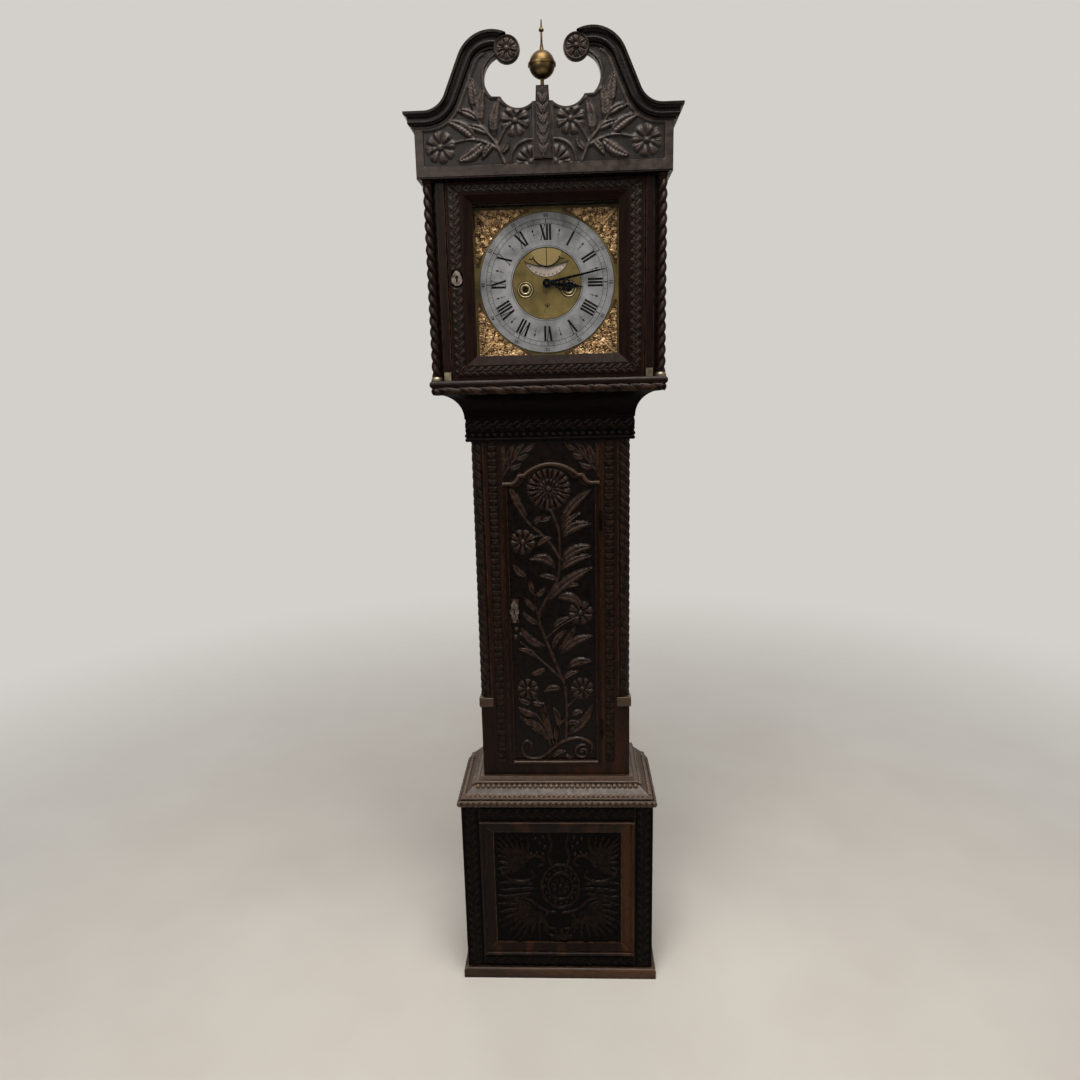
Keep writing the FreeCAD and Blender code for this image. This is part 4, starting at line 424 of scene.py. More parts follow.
iron = metal("bare cast iron", "#1d1b1a", "#33302e", "#4a4643", 0.60, mark=0.015, pits=0.004, shine=0.7)
wax = metal("black engraving wax", "#050505", "#090808", "#100e0e", 0.55, shine=0.0)
wax.node_tree.nodes["Principled BSDF"].inputs["Specular IOR Level"].default_value = 0.1
print("fourteen metal finishes and the wax of the engraving")

# %% Gut and glass
gut, tree, shader, place = blank("gut line")  # pale twisted fibre, slightly glossy
twist = add(tree, "TexWave", {"Vector": place, "Scale": 160.0, "Distortion": 3.0}, bands_direction="DIAGONAL")
strands = ramp(tree, twist.outputs["Fac"], (0.2, ink("#7d6238")), (0.8, ink("#c1a36c")))
connect(tree, shader, {"Base Color": strands, "Roughness": 0.55})

RIPPLE = 0.06  # width of the waves in old glass
glass, tree, shader, place = blank("clear old glass")  # nearly clear, with faint waves
waves = bump(tree, {"Height": noise(tree, place, RIPPLE, 1.0), "Strength": 0.05, "Distance": 0.002})
connect(tree, shader, {"Base Color": ink("#0f1412"), "Roughness": 0.04, "Alpha": 0.06, "Normal": waves})
print("gut and glass")

# %% [markdown]
# ## Finishes on the construction
# Each solid takes the finish of its slot in the record. Some differ: the boards that nobody sees were
# never waxed, rails and mouldings have their grain lying level, and a few fittings have their own tarnish.

# %% Dress the CAD nodes
by_slot = {"dark_oak": upright_oak, "brass": brass, "gilt_brass": gilt, "silvered_brass": silvered,
           "glass": glass, "blued_steel": blued, "steel": steel, "cast_iron": iron, "gut": gut}
own_finish = ((raw_oak, "base_floor seatboard dial_mask"), (plank_oak, "backboard"),
              (level_oak, "hood_base_frame"), (dull_oak, "hood_door_frame"), (warm_oak, "trunk_frame"),
              (edged_oak, "base_panel"), (deep_shade_oak, "frieze throat_moulding"),
              (black_oak, "hood_top_frame cornice_mouldings"), (rubbed_highlit_oak, "base_moulding"),
              (skirt_oak, "skirting"), (top_oak, "pediment_board hood_top_boards"),
              (shade_dark_brass, "trunk_door_hinges trunk_case_hinges hood_door_pins"),
              (pale_brass, "column_mounts"), (dial_brass, "dial_plate"), (finial_brass, "finial"),
              (warm_silver, "calendar_disc"), (pewter, "hood_door_escutcheon trunk_door_escutcheon"))
by_node = {name: finish for finish, names in own_finish for name in names.split()}
slots = {part["node"]: part["material_slot"] for part in frame["record"]["subparts"]}
for name, node in nodes.items():
    node.data.materials.clear()
    node.data.materials.append(by_node.get(name, by_slot[slots[name]]))
print(len(nodes), "CAD nodes dressed")

# %% [markdown]
# ## Carving tools
# Relief carving starts from a flat board. The carver lowers the ground around a drawn pattern, rounds what
# is left standing, and punches the ground so that it stays dark. Here a board is a fine grid, and each
# motif is a function that says how high the wood stands above the ground at every point. Lengths in these
# functions are in millimetres.

# %% Motifs
def smooth_line(points, step=1.5):
    """Points along a smooth curve that passes through the given ones."""
    points = np.array(points, float)
    ends = np.vstack([2 * points[0] - points[1], points, 2 * points[-1] - points[-2]])
    run = []
    for a, b, c, d in zip(ends, ends[1:], ends[2:], ends[3:]):
        count = max(2, int(np.linalg.norm(c - b) / step))
        t = np.linspace(0, 1, count, endpoint=False)[:, None]
        square, cube = (2 * a - 5 * b + 4 * c - d) * t ** 2, (3 * b - a - 3 * c + d) * t ** 3
        run.append(0.5 * (2 * b + (c - a) * t + square + cube))
    return np.vstack(run + [points[-1:]])


def near(u, v, low, high, margin):
    """Which grid points lie close enough to a motif to matter."""
    inside_u = (u > low[0] - margin) & (u < high[0] + margin)
    return np.nonzero(inside_u & (v > low[1] - margin) & (v < high[1] + margin))[0]


def raise_to(height, chosen, value):
    """Wood that stands higher wins over what is there."""
    height[chosen] = np.maximum(height[chosen], value)


def hump(share):
    """A round section: 1 in the middle, 0 from a share of 1 outwards."""
    return np.sqrt(np.clip(1 - share ** 2, 0, 1))


def stem(u, v, height, points, start, end, rise):
    """A rounded stalk along a curve, from one thickness to another."""
    line = smooth_line(points)
    chosen = near(u, v, line.min(0), line.max(0), max(start, end))
    gap = np.hypot(u[chosen, None] - line[None, :, 0], v[chosen, None] - line[None, :, 1])
    radius = start + (end - start) * gap.argmin(1) / len(line)
    raise_to(height, chosen, rise * hump(gap.min(1) / radius) * (0.6 + 0.4 * radius / max(start, end)))


def pearl(u, v, height, centre, radius, rise):
    """A round dome."""
    chosen = near(u, v, centre, centre, radius)
    raise_to(height, chosen, rise * hump(np.hypot(u[chosen] - centre[0], v[chosen] - centre[1]) / radius))


def leaf(u, v, height, base, tip, width, rise, bend=0.0):
    """A pointed leaf in two rounded halves with a sunk rib and cut edges, curved to one side by bend."""
    base, tip = np.array(base, float), np.array(tip, float)
    along = tip - base
    length = np.hypot(*along)
    along /= length
    chosen = near(u, v, np.minimum(base, tip), np.maximum(base, tip), width + abs(bend))
    du, dv = u[chosen] - base[0], v[chosen] - base[1]
    t = (du * along[0] + dv * along[1]) / length
    side = -du * along[1] + dv * along[0] - 4 * bend * t * (1 - t)
    on = (t > 0) & (t < 1)
    t = np.clip(t, 1e-4, 1 - 1e-4)
    edge = width / 2 * np.sin(np.pi * t ** 0.8) ** 0.65 * (1 + 0.04 * np.sin(2 * np.pi * t * length / 13))
    share = np.clip(np.abs(side) / np.maximum(edge, 0.05), 0, 1)
    shape = 0.45 + 0.55 * np.sin(np.pi * np.clip(share, 0.06, 1) ** 0.8)
    shape *= np.clip((1 - share) * 4.5, 0, 1) * np.clip(t * 6, 0.5, 1)
    veins = 0.11 * np.cos(2 * np.pi * (t * length / 6.5 - 0.9 * share)) * (1 - share)
    raise_to(height, chosen, np.where(on & (share < 1), rise * np.clip(shape - veins, 0, 1.1), 0))


def flower(u, v, height, centre, radius, petals, rise, turn=0.0, rings=((0.24, 1.0),), boss=0.22):
    """Rings of rounded petals, each ring from an inner to an outer share of the radius, round a domed middle.
    The first ring has all the petals, and a ring inside it fewer and lower ones."""
    chosen = near(u, v, centre, centre, radius)
    du, dv = u[chosen] - centre[0], v[chosen] - centre[1]
    far = np.hypot(du, dv) / radius
    angle = np.arctan2(dv, du) + turn
    for level, (inner, outer) in enumerate(rings):
        count = round(petals * (0.45 + 0.55 * outer))
        phase = np.abs(((angle + level * 0.4) * count / (2 * np.pi)) % 1 - 0.5) * 2  # 1 mid-petal
        lobe = inner + (outer - inner) * (1 - 0.22 * (1 - phase) ** 3)
        across = np.clip((far - inner) / (lobe - inner), 0, 1)
        swell = np.sin(np.pi * np.clip(across, 0.04, 1) ** 1.2) ** 0.55
        body = swell * np.clip(1 - ((1 - phase) / (0.58 + 0.36 * across)) ** 2, 0, 1) ** 0.55
        rib = 1 - 0.30 * np.exp(-((phase - 1) / 0.20) ** 2)
        top = rise * (0.72 if level else 1.0) * body * rib
        raise_to(height, chosen, np.where((far > inner) & (far < lobe), top, 0))
    pearl(u, v, height, centre, radius * boss, rise * 1.05)


def spiral(u, v, height, centre, radius, turns, start, thick, rise):
    """A scroll that winds inwards, with an eye in the middle."""
    angle = np.linspace(0, 2 * np.pi * turns, 40)
    reach = radius * (1 - 0.72 * angle / angle[-1])
    angle = start + angle
    points = np.stack([centre[0] + reach * np.cos(angle), centre[1] + reach * np.sin(angle)], 1)
    stem(u, v, height, points, thick, thick * 0.7, rise)
    pearl(u, v, height, centre, radius * 0.22, rise)


def oval(x, z, wide, tall, end, count):
    """Points round an oval, from the right end of it and leftwards over the top to an end angle."""
    return [(x + wide * math.cos(a), z + tall * math.sin(a)) for a in np.linspace(0, end, count)]


def punched(u, v, pitch=3.2, depth=0.35):
    """Ground with small round punch marks in staggered rows."""
    row = np.floor(v / pitch)
    du = ((u / pitch + 0.5 * (row % 2)) % 1 - 0.5) * pitch
    dv = (v / pitch % 1 - 0.5) * pitch
    return -depth * np.clip(1 - (du ** 2 + dv ** 2) / (0.36 * pitch) ** 2, 0, 1)


print("motifs: stem, pearl, leaf, flower, spiral, punched ground")

# %% [markdown]
# ## From relief to a solid piece
# The grid is a mesh primitive whose points are moved to their places and heights. Where a board has a
# shaped outline, the points that miss the board are taken away. The rim is then drawn back into the wood
# and filled, so that every carved piece is closed. Its heights go with it as an attribute for the rubbed
# crests.

# %% Places on the clock
def mm_box(node):
    """The box of a CAD node in millimetres, as two corners."""
    low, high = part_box(node)
    return np.array(low) / MM, np.array(high) / MM


def front_of(face):
    """Place on an upright front face: u across, v up, height towards the room."""
    return lambda u, v, h: np.stack([u, face - h, v], 1)


AHEAD, INWARD = -0.4, Vector((0, 1, 0))  # a plane in front of the whole clock, and the way to look


def depth_of(node, u, v):
    """How far back the front of a CAD node lies at points of the front view, and nan where it is missed."""
    mesh = nodes[node].data
    tree = BVHTree.FromPolygons([vertex.co for vertex in mesh.vertices],
                                [face.vertices for face in mesh.polygons])
    found = np.full(len(u), np.nan)
    for number, (x, z) in enumerate(zip(u * MM, v * MM)):
        point = tree.ray_cast(Vector((x, AHEAD, z)), INWARD)[0]
        if point is not None:
            found[number] = point.y / MM
    return found


def depth_at(node, x, z):
    """How far back the front of a CAD node lies at one point."""
    return float(depth_of(node, np.array([x]), np.array([z]))[0])


def rim_distance(u, v, inside):
    """Distance of each point to the nearest one outside."""
    outside = np.nonzero(~inside)[0]
    tree = KDTree(len(outside))
    for number in outside:
        tree.insert((u[number], v[number], 0), number)
    tree.balance()
    return np.array([tree.find((a, b, 0))[2] for a, b in zip(u, v)])


print("places ready")

# %% Finishing a piece
SMOOTH = math.radians(50)  # edges sharper than this stay sharp
WELD = 0.02  # points closer than this many millimetres become one
SIDES = (("left", -1), ("right", 1))


def edit(on):
    """Go into edit mode, or out of it."""
    bpy.ops.object.mode_set(mode="EDIT" if on else "OBJECT")


def dress(piece, finish, body, slot_name="dark_oak"):
    """Give a piece its finish and the body it rides on; one with no body is left loose. Its slot is not used.
    """
    piece.data.materials.append(finish)
    if body:
        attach(piece, body)
    print(piece.name, len(piece.data.polygons), "faces")


def join_pieces(pieces, name):
    """Several pieces as one, at the origin and unturned."""
    bpy.ops.object.select_all(action="DESELECT")
    for piece in pieces:
        piece.select_set(True)
    bpy.context.view_layer.objects.active = pieces[0]
    if len(pieces) > 1:
        bpy.ops.object.join()
    bpy.ops.object.transform_apply(location=True, rotation=True, scale=True)
    pieces[0].name = name
    return pieces[0]


def block(low, high):
    """A cube drawn out from one corner to another, in millimetres."""
    low, high = np.array(low) * MM, np.array(high) * MM
    return primitive("cube", size=1, location=tuple((low + high) / 2), scale=tuple(high - low))


print("bench ready")


# %% Carved plates
def spots_of(mesh):
    """Where the points of a mesh are."""
    flat = np.empty(len(mesh.vertices) * 3)
    mesh.vertices.foreach_get("co", flat)
    return flat.reshape(-1, 3)


def in_metres(spots):
    """Points in millimetres as one flat row in metres."""
    return (spots * MM).astype(np.float32).ravel()


def trim(mesh, wanted, weld):
    """Take away the points that miss the board, and start a new rim along the edge that is left."""
    edit(True)
    bpy.ops.mesh.select_all(action="DESELECT")
    edit(False)
    if wanted is not None:
        mesh.vertices.foreach_set("select", ~wanted)
    edit(True)
    bpy.ops.mesh.select_mode(type="VERT")
    bpy.ops.mesh.delete(type="VERT")
    bpy.ops.mesh.select_all(action="SELECT")
    bpy.ops.mesh.delete_loose()
    if weld:
        bpy.ops.mesh.select_all(action="SELECT")
        bpy.ops.mesh.remove_doubles(threshold=WELD * MM)
    bpy.ops.mesh.select_all(action="DESELECT")
    bpy.ops.mesh.select_mode(type="EDGE")
    bpy.ops.mesh.select_non_manifold()
    if wanted is not None:
        bpy.ops.mesh.vertices_smooth(factor=0.5, repeat=6)
    bpy.ops.mesh.extrude_edges_move(TRANSFORM_OT_translate={"value": (0, 0, 0)})
    edit(False)


def close_back(mesh):
    """Draw the new rim back to its sunk places and fill it."""
    rim = np.empty(len(mesh.vertices), bool)
    mesh.vertices.foreach_get("select", rim)
    depths = np.empty(len(mesh.vertices) * 3)
    mesh.attributes["sunk"].data.foreach_get("vector", depths)
    spots = np.where(rim[:, None], depths.reshape(-1, 3), spots_of(mesh))
    mesh.vertices.foreach_set("co", spots.astype(np.float32).ravel())
    mesh.attributes.remove(mesh.attributes["sunk"])
    edit(True)
    bpy.ops.mesh.edge_face_add()
    bpy.ops.mesh.select_all(action="SELECT")
    bpy.ops.mesh.normals_make_consistent(inside=False)
    edit(False)


def carved(name, body, across, upward, step, place, relief, finish, back=2.0, keep=None, crest=None,
           weld=False, slot_name="dark_oak"):
    """A closed piece carved by a relief over a grid, riding on a body of the clock."""
    (u0, u1), (v0, v1) = across, upward
    columns, rows = max(2, round((u1 - u0) / step)), max(2, round((v1 - v0) / step))
    piece = primitive("grid", x_subdivisions=columns, y_subdivisions=rows, size=2)
    piece.name = name
    mesh = piece.data
    flat = spots_of(mesh)
    u = u0 + (flat[:, 0] + 1) / 2 * (u1 - u0)
    v = v0 + (flat[:, 1] + 1) / 2 * (v1 - v0)
    height = relief(u, v)
    top = crest or max(0.5, float(height.max()))
    level = mesh.attributes.new("relief", "FLOAT", "POINT")
    level.data.foreach_set("value", np.clip(height / top, 0, 1).astype(np.float32))
    sunk = mesh.attributes.new("sunk", "FLOAT_VECTOR", "POINT")
    sunk.data.foreach_set("vector", in_metres(place(u, v, np.full(len(u), -back))))
    mesh.vertices.foreach_set("co", in_metres(place(u, v, height)))
    trim(mesh, keep(u, v) if keep else None, weld)
    close_back(mesh)
    bpy.ops.object.shade_smooth_by_angle(angle=SMOOTH)
    dress(piece, finish, body, slot_name)
    return piece


print("carving ready")

# %% [markdown]
# ## The trunk door
# The tall door carries one growing plant. A stem winds up from scrolls at the foot, sends out leaves and
# small flowers to both sides and ends in a large flower under the arch. The carver left a plain raised
# border. The places of the motifs were read off the real door, and the plant is laid out as lists of
# stems, leaves and flowers.

# %% Door carving
door_low, door_high = mm_box("trunk_door")
door_face = door_low[1]
DOOR_SINK = 5.0  # the carved field lies this deep in the door
DOOR_FIELD = ((-98, 98), (558, 1262))  # across and up
RISE = 5.2  # height of the plant over the ground
PLATE_X, PLATE_Z, PLATE_WIDE, PLATE_TALL = -89, 929, 11, 28  # middle and half size of the key plate


def door_stems(u, v, h):
    main = [(24, 610), (26, 646), (27, 700), (24, 743), (14, 772), (-1, 814), (-17, 856), (-30, 891),
            (-32, 919), (-19, 950), (8, 993), (15, 1020), (17, 1053), (17, 1086), (16, 1112), (10, 1132),
            (-2, 1163)]
    stem(u, v, h, main, 4.6, 3.4, RISE * 0.9)
    side_stems = [([(15, 1053), (3, 1076), (-22, 1106), (-48, 1130), (-66, 1153), (-81, 1185)], 3.6, 2.0),
                  ([(-30, 900), (-40, 935), (-42, 967)], 2.8, 1.8),
                  ([(14, 765), (-15, 793), (-41, 818), (-77, 853)], 3.4, 1.8),
                  ([(-20, 860), (20, 895), (52, 912)], 2.6, 2.0),
                  ([(-12, 594), (-25, 642), (-45, 671)], 3.4, 2.4),
                  ([(-5, 598), (-18, 664), (-27, 700)], 3.2, 2.4),
                  ([(1, 598), (9, 642), (23, 660)], 3.2, 2.4),
                  ([(-25, 680), (-40, 705), (-55, 722)], 2.6, 2.0),
                  ([(27, 690), (44, 708), (58, 722)], 2.6, 2.0),
                  ([(-22, 1106), (-45, 1100), (-56, 1094)], 2.4, 2.0)]
    for points, start, end in side_stems:
        stem(u, v, h, points, start, end, RISE * 0.85)
    scroll = [(-62, 583), (-58, 596), (-70, 604), (-80, 592), (-77, 570), (-60, 559), (-40, 560),
              (-20, 572), (1, 592), (22, 605), (49, 612), (73, 606), (86, 592), (84, 576)]
    stem(u, v, h, scroll, 3.4, 4.4, RISE)
    spiral(u, v, h, (63, 576), 19, 1.3, 1.2, 3.6, RISE)


def door_leaves(u, v, h):
    leaves = [((23, 1138), (88, 1206), 19, 6), ((22, 1119), (66, 1156), 14, 5),
              ((24, 1104), (89, 1131), 22, 9), ((21, 1046), (90, 1080), 22, 8),
              ((18, 1026), (89, 1058), 17, 7), ((-9, 956), (90, 1030), 22, 8),
              ((10, 962), (68, 938), 20, 10), ((-74, 1168), (-93, 1214), 18, -3),
              ((-56, 1146), (-84, 1212), 15, 4), ((6, 1032), (-52, 1050), 20, -12),
              ((0, 1146), (-26, 1138), 10, 0), ((-42, 967), (-52, 1006), 12, 3),
              ((-41, 964), (-17, 984), 11, -3), ((-22, 842), (-75, 890), 17, 9),
              ((-41, 818), (-84, 838), 13, -4), ((0, 890), (36, 912), 13, 3),
              ((12, 835), (50, 892), 16, -5), ((16, 826), (90, 868), 20, 8), ((32, 792), (88, 806), 19, 6),
              ((-4, 838), (30, 882), 14, 5), ((-22, 788), (-56, 774), 13, 3),
              ((14, 738), (-26, 732), 15, -4), ((-45, 671), (-88, 692), 16, 5),
              ((-27, 698), (-54, 706), 12, 3), ((10, 640), (-6, 692), 15, -4),
              ((29, 622), (91, 702), 21, -9), ((38, 668), (66, 680), 13, 4),
              ((-12, 604), (-58, 640), 14, -6), ((-8, 562), (24, 580), 13, 4), ((22, 566), (40, 560), 9, 0),
              ((-60, 1010), (-90, 1040), 14, 4), ((-58, 700), (-86, 716), 12, 3),
              ((30, 985), (60, 990), 12, 3), ((-14, 606), (-36, 690), 12, -4),
              ((-6, 604), (-16, 668), 12, 3), ((2, 602), (4, 650), 10, 3), ((-20, 614), (-66, 662), 13, -5),
              ((-30, 640), (-84, 668), 13, 5), ((-36, 930), (-66, 962), 12, 4),
              ((-34, 896), (-70, 926), 12, 4), ((-2, 1100), (-34, 1080), 12, -4),
              ((20, 760), (58, 782), 12, 4), ((12, 1000), (-30, 1012), 12, -4),
              ((28, 650), (60, 648), 11, 4), ((-40, 1128), (-20, 1150), 10, 2)]
    for base, tip, width, bend in leaves:
        leaf(u, v, h, base, tip, width * 1.15, RISE, bend)


def door_relief(u, v):
    h = 0.4 + punched(u, v)
    door_stems(u, v, h)
    door_leaves(u, v, h)
    for centre, size, petals, start in (((-66, 1091), 29, 9, 0.2), ((63, 923), 29, 8, 0.5),
                                        ((-63, 737), 26, 8, 0.0), ((64, 737), 28, 9, 0.3)):
        flower(u, v, h, centre, size, petals, RISE, start)
    for centre, size in (((-86, 884), 6), ((-88, 866), 6), ((-76, 872), 5)):
        pearl(u, v, h, centre, size, RISE * 0.84)
    flower(u, v, h, (-5, 1211), 49, 20, RISE * 1.1, 0.1, ((0.44, 1.0), (0.15, 0.47)), 0.15)
    plate = (np.abs(u - PLATE_X) < PLATE_WIDE) & (np.abs(v - PLATE_Z) < PLATE_TALL)
    h[plate] = np.maximum(h[plate], DOOR_SINK - 0.1)  # wood left standing under the key plate
    return h


def in_sunk_field(u, v):
    return depth_of("trunk_door", u, v) > door_face + DOOR_SINK - 1


carved("trunk_door_carving", "trunk_door_leaf", *DOOR_FIELD, 1.45, front_of(door_face + DOOR_SINK),
       door_relief, carved_upright, keep=in_sunk_field)

# %% [markdown]
# ## The trunk front around the door
# The rail over the arch has leaf sprays in its two corners and a plain middle. Beside the door runs a
# strip of small overlapping scales, and the rounded corners of the trunk are cut with slanted leaves like
# a rope. Each corner stands on a plain stop block. A worn bead, lighter also as painted highlight, follows
# the top of the door, and a straight one its foot.

# %% Rail over the door
frame_low, frame_high = mm_box("trunk_frame")
frame_face, trunk_half = frame_low[1], frame_high[0]
frieze_foot = mm_box("frieze")[0][2]
RAIL_HALF, RAIL_LOW, PLAIN = 108, 1226, 26  # half the rail, its lowest point, and half its plain middle


def rail_relief(u, v):
    side = np.abs(u)
    h = 0.3 + punched(u, v, 3.4, 0.25) * (side > PLAIN)
    stem(side, v, h, [(107, 1238), (96, 1256), (80, 1276), (60, 1294), (38, 1310)], 2.6, 1.8, 2.6)
    for base, tip, width, bend in (((104, 1244), (100, 1312), 17, -4), ((94, 1258), (78, 1312), 16, -4),
                                   ((80, 1276), (56, 1313), 14, -3), ((92, 1258), (64, 1268), 13, 4),
                                   ((76, 1280), (46, 1290), 13, 4), ((60, 1294), (32, 1314), 12, 3)):
        leaf(side, v, h, base, tip, width, 3.0, bend)
    return h


def on_rail(u, v):
    return np.abs(depth_of("trunk_frame", u, v) - frame_face) < 0.5


carved("trunk_rail_carving", "case", (-RAIL_HALF, RAIL_HALF), (RAIL_LOW, frieze_foot), 1.4,
       front_of(frame_face), rail_relief, carved_upright, keep=on_rail, crest=3.4)


# %% Scales beside the door
def scales(across, along, half, pitch, rise):
    """Overlapping rounded scales in a row, each a small dome with a raised rim and a groove down it."""
    cell = (along / pitch) % 1
    far = np.hypot(across / half, (1 - cell) * pitch / half * 0.9)
    rim = np.exp(-((far - 0.82) / 0.16) ** 2)
    split = 1 - 0.5 * np.exp(-(across / (0.13 * half)) ** 2)
    top = np.clip(0.25 + 0.65 * hump(far) * split + 0.35 * rim * (far < 1.05), 0, 1.1)
    return rise * top * (np.abs(across) < half)


STILE_MIDDLE, STILE_HALF, STILE_LOW, SCALE = 129, 9.5, 552, 15.0  # the strip, and the pitch of a scale
for name, sign in SIDES:
    carved("stile_scales_" + name, "case", (-STILE_HALF - 1, STILE_HALF + 1), (STILE_LOW, frieze_foot), 1.2,
           lambda u, v, h: front_of(frame_face)(u + sign * STILE_MIDDLE, v, h),
           lambda u, v: 0.2 + scales(u, v + 3 * sign, STILE_HALF, SCALE, 2.0), carved_low, crest=3.0)


# %% Slanted leaves on the trunk corners
def slanted(across, along, half, pitch, rise, slope=0.8):
    """Slanted leaves laid one on the other like the strands of a rope, each with a small rib."""
    run = ((along + slope * across) / pitch) % 1
    body = np.sin(np.pi * run) ** 0.6 * (0.75 + 0.25 * run)
    rib = 0.30 * np.exp(-((run - 0.42) / 0.07) ** 2)
    edge = np.clip((1 - np.abs(across) / half) * 5, 0, 1)
    return rise * np.clip(body - rib, 0, 1) * edge


corner_low, corner_high = mm_box("corner_columns")
CORNER_RADIUS, LEDGE, SLANT = 26.0, 14.0, 20  # round of the corner, ledge under it, pitch of the leaves
corner_x, corner_y = trunk_half - CORNER_RADIUS, frame_face + CORNER_RADIUS
quarter = CORNER_RADIUS * math.pi / 2


def round_corner(sign):
    """Place on a quarter column: u is the angle from the front in millimetres of its round."""
    def place(u, v, h):
        angle, reach = u / CORNER_RADIUS, CORNER_RADIUS + h
        return np.stack([sign * (corner_x + reach * np.sin(angle)), corner_y - reach * np.cos(angle), v], 1)
    return place


for name, sign in SIDES:
    carved("corner_leaves_" + name, "case", (2.5, quarter - 5), (corner_low[2] + LEDGE, frieze_foot), 1.15,
           round_corner(sign),
           lambda u, v: 0.15 + slanted(u - quarter / 2, sign * v, quarter / 2 - 3, SLANT, 2.6),
           carved_low, back=1.2, crest=3.2)

# %% Stop blocks under the corners
STOP_WIDTH, STOP_HEIGHT, STOP_OUT, STOP_DOWN, STOP_ROUND = 34.0, 23.0, 4.0, 8, 2.5
stop_foot = corner_low[2] - STOP_DOWN
out, front = trunk_half + STOP_OUT, frame_face - STOP_OUT
for name, sign in SIDES:
    x0, x1 = sorted((sign * out, sign * (out - STOP_WIDTH)))
    stop = block((x0, front, stop_foot), (x1, corner_high[1] - 0.5, stop_foot + STOP_HEIGHT))
    stop.name = "corner_stop_" + name
    bpy.ops.object.transform_apply(location=True, rotation=True, scale=True)
    round_edges = stop.modifiers.new("round", "BEVEL")
    round_edges.width, round_edges.segments = STOP_ROUND * MM, 3
    bpy.ops.object.modifier_apply(modifier="round")
    bpy.ops.object.shade_smooth_by_angle(angle=SMOOTH)
    dress(stop, rubbed_highlit_oak, "case")


# %% Beads on the door
def bead_along(name, body, points, radius, finish, slot_name="dark_oak"):
    """A round bead that follows a line in space, made as a bevelled curve and turned into a mesh."""
    curve = bpy.data.curves.new(name, "CURVE")
    curve.dimensions = "3D"
    curve.bevel_depth = radius * MM
    curve.bevel_resolution = 3
    curve.use_fill_caps = True
    line = curve.splines.new("POLY")
    line.points.add(len(points) - 1)
    for point, spot in zip(line.points, points):
        point.co = (*(value * MM for value in spot), 1)
    piece = bpy.data.objects.new(name, curve)
    bpy.context.scene.collection.objects.link(piece)
    bpy.ops.object.select_all(action="DESELECT")
    bpy.context.view_layer.objects.active = piece
    piece.select_set(True)
    bpy.ops.object.convert(target="MESH")
    piece = bpy.context.object
    bpy.ops.object.shade_smooth_by_angle(angle=SMOOTH)
    dress(piece, finish, body, slot_name)
    return piece


ARCH_BEAD, FOOT_BEAD, BEAD_SINK = 4.2, 3.4, 0.5  # radius of each bead, and its depth in the door
ARCH_HALF, ARCH_FALL, ARCH_DROP = 107, 50, 4.5  # half width, room to look for the edge, bead below it
FOOT_HALF, FOOT_UP = 100, 5  # half the bead at the foot, and its height on the door
edge_x = np.arange(-ARCH_HALF, ARCH_HALF + 0.5, 1.0)
probe = np.arange(door_high[2] - ARCH_FALL, door_high[2] + 2, 0.5)
edge_z = []
for x in edge_x:
    on_door = ~np.isnan(depth_of("trunk_door", np.full(len(probe), x), probe))
    edge_z.append(probe[on_door].max())
edge_z = np.convolve(np.pad(edge_z, 2, mode="edge"), np.full(5, 0.2), "valid")
bead_y = door_face + BEAD_SINK
arch = [(x, bead_y, z - ARCH_DROP) for x, z in zip(edge_x, edge_z)]
bead_along("door_arch_bead", "trunk_door_leaf", arch, ARCH_BEAD, rubbed_highlit_oak)
foot = [(x, bead_y, door_low[2] + FOOT_UP) for x in (-FOOT_HALF, 0, FOOT_HALF)]
bead_along("door_foot_bead", "trunk_door_leaf", foot, FOOT_BEAD, rubbed_highlit_oak)

# %% [markdown]
# ## The pediment
# Two swan necks frame a carved board. On each side a flowering branch rises from the foot, with one flower
# near the middle, one near the corner, and half a daisy under an arc beside the plinth. The field is sunk
# and punched, and a plain margin stays along its edges. The two sides are near mirror images, so one
# drawing serves both.

# %% Pediment carving
board_low = mm_box("pediment_board")[0]
board_face = board_low[1]
MARGIN, MARGIN_WIDTH = 2.6, 6  # height of the margin over the punched field, and its width
FIELD_FOOT, FIELD_SIDE, PLINTH_SIDE = 1863, 235, 20.5  # edges of the sunk field
BOARD_HALF, BOARD_TOP, UNDER = 253, 2062, 4  # the carved piece runs a little under the moulding
DAISY_X, DAISY_Z, BOW = 24, 1866, 40  # middle of the half daisy, and radius of the arc over it


def bare_board(u, v):
    """Which points lie on the board, and which of them lie clear of the swan-neck moulding."""
    on_board = np.abs(depth_of("pediment_board", u, v) - board_face) < 0.5
    return on_board, on_board & np.isnan(depth_of("cornice_mouldings", u, v))


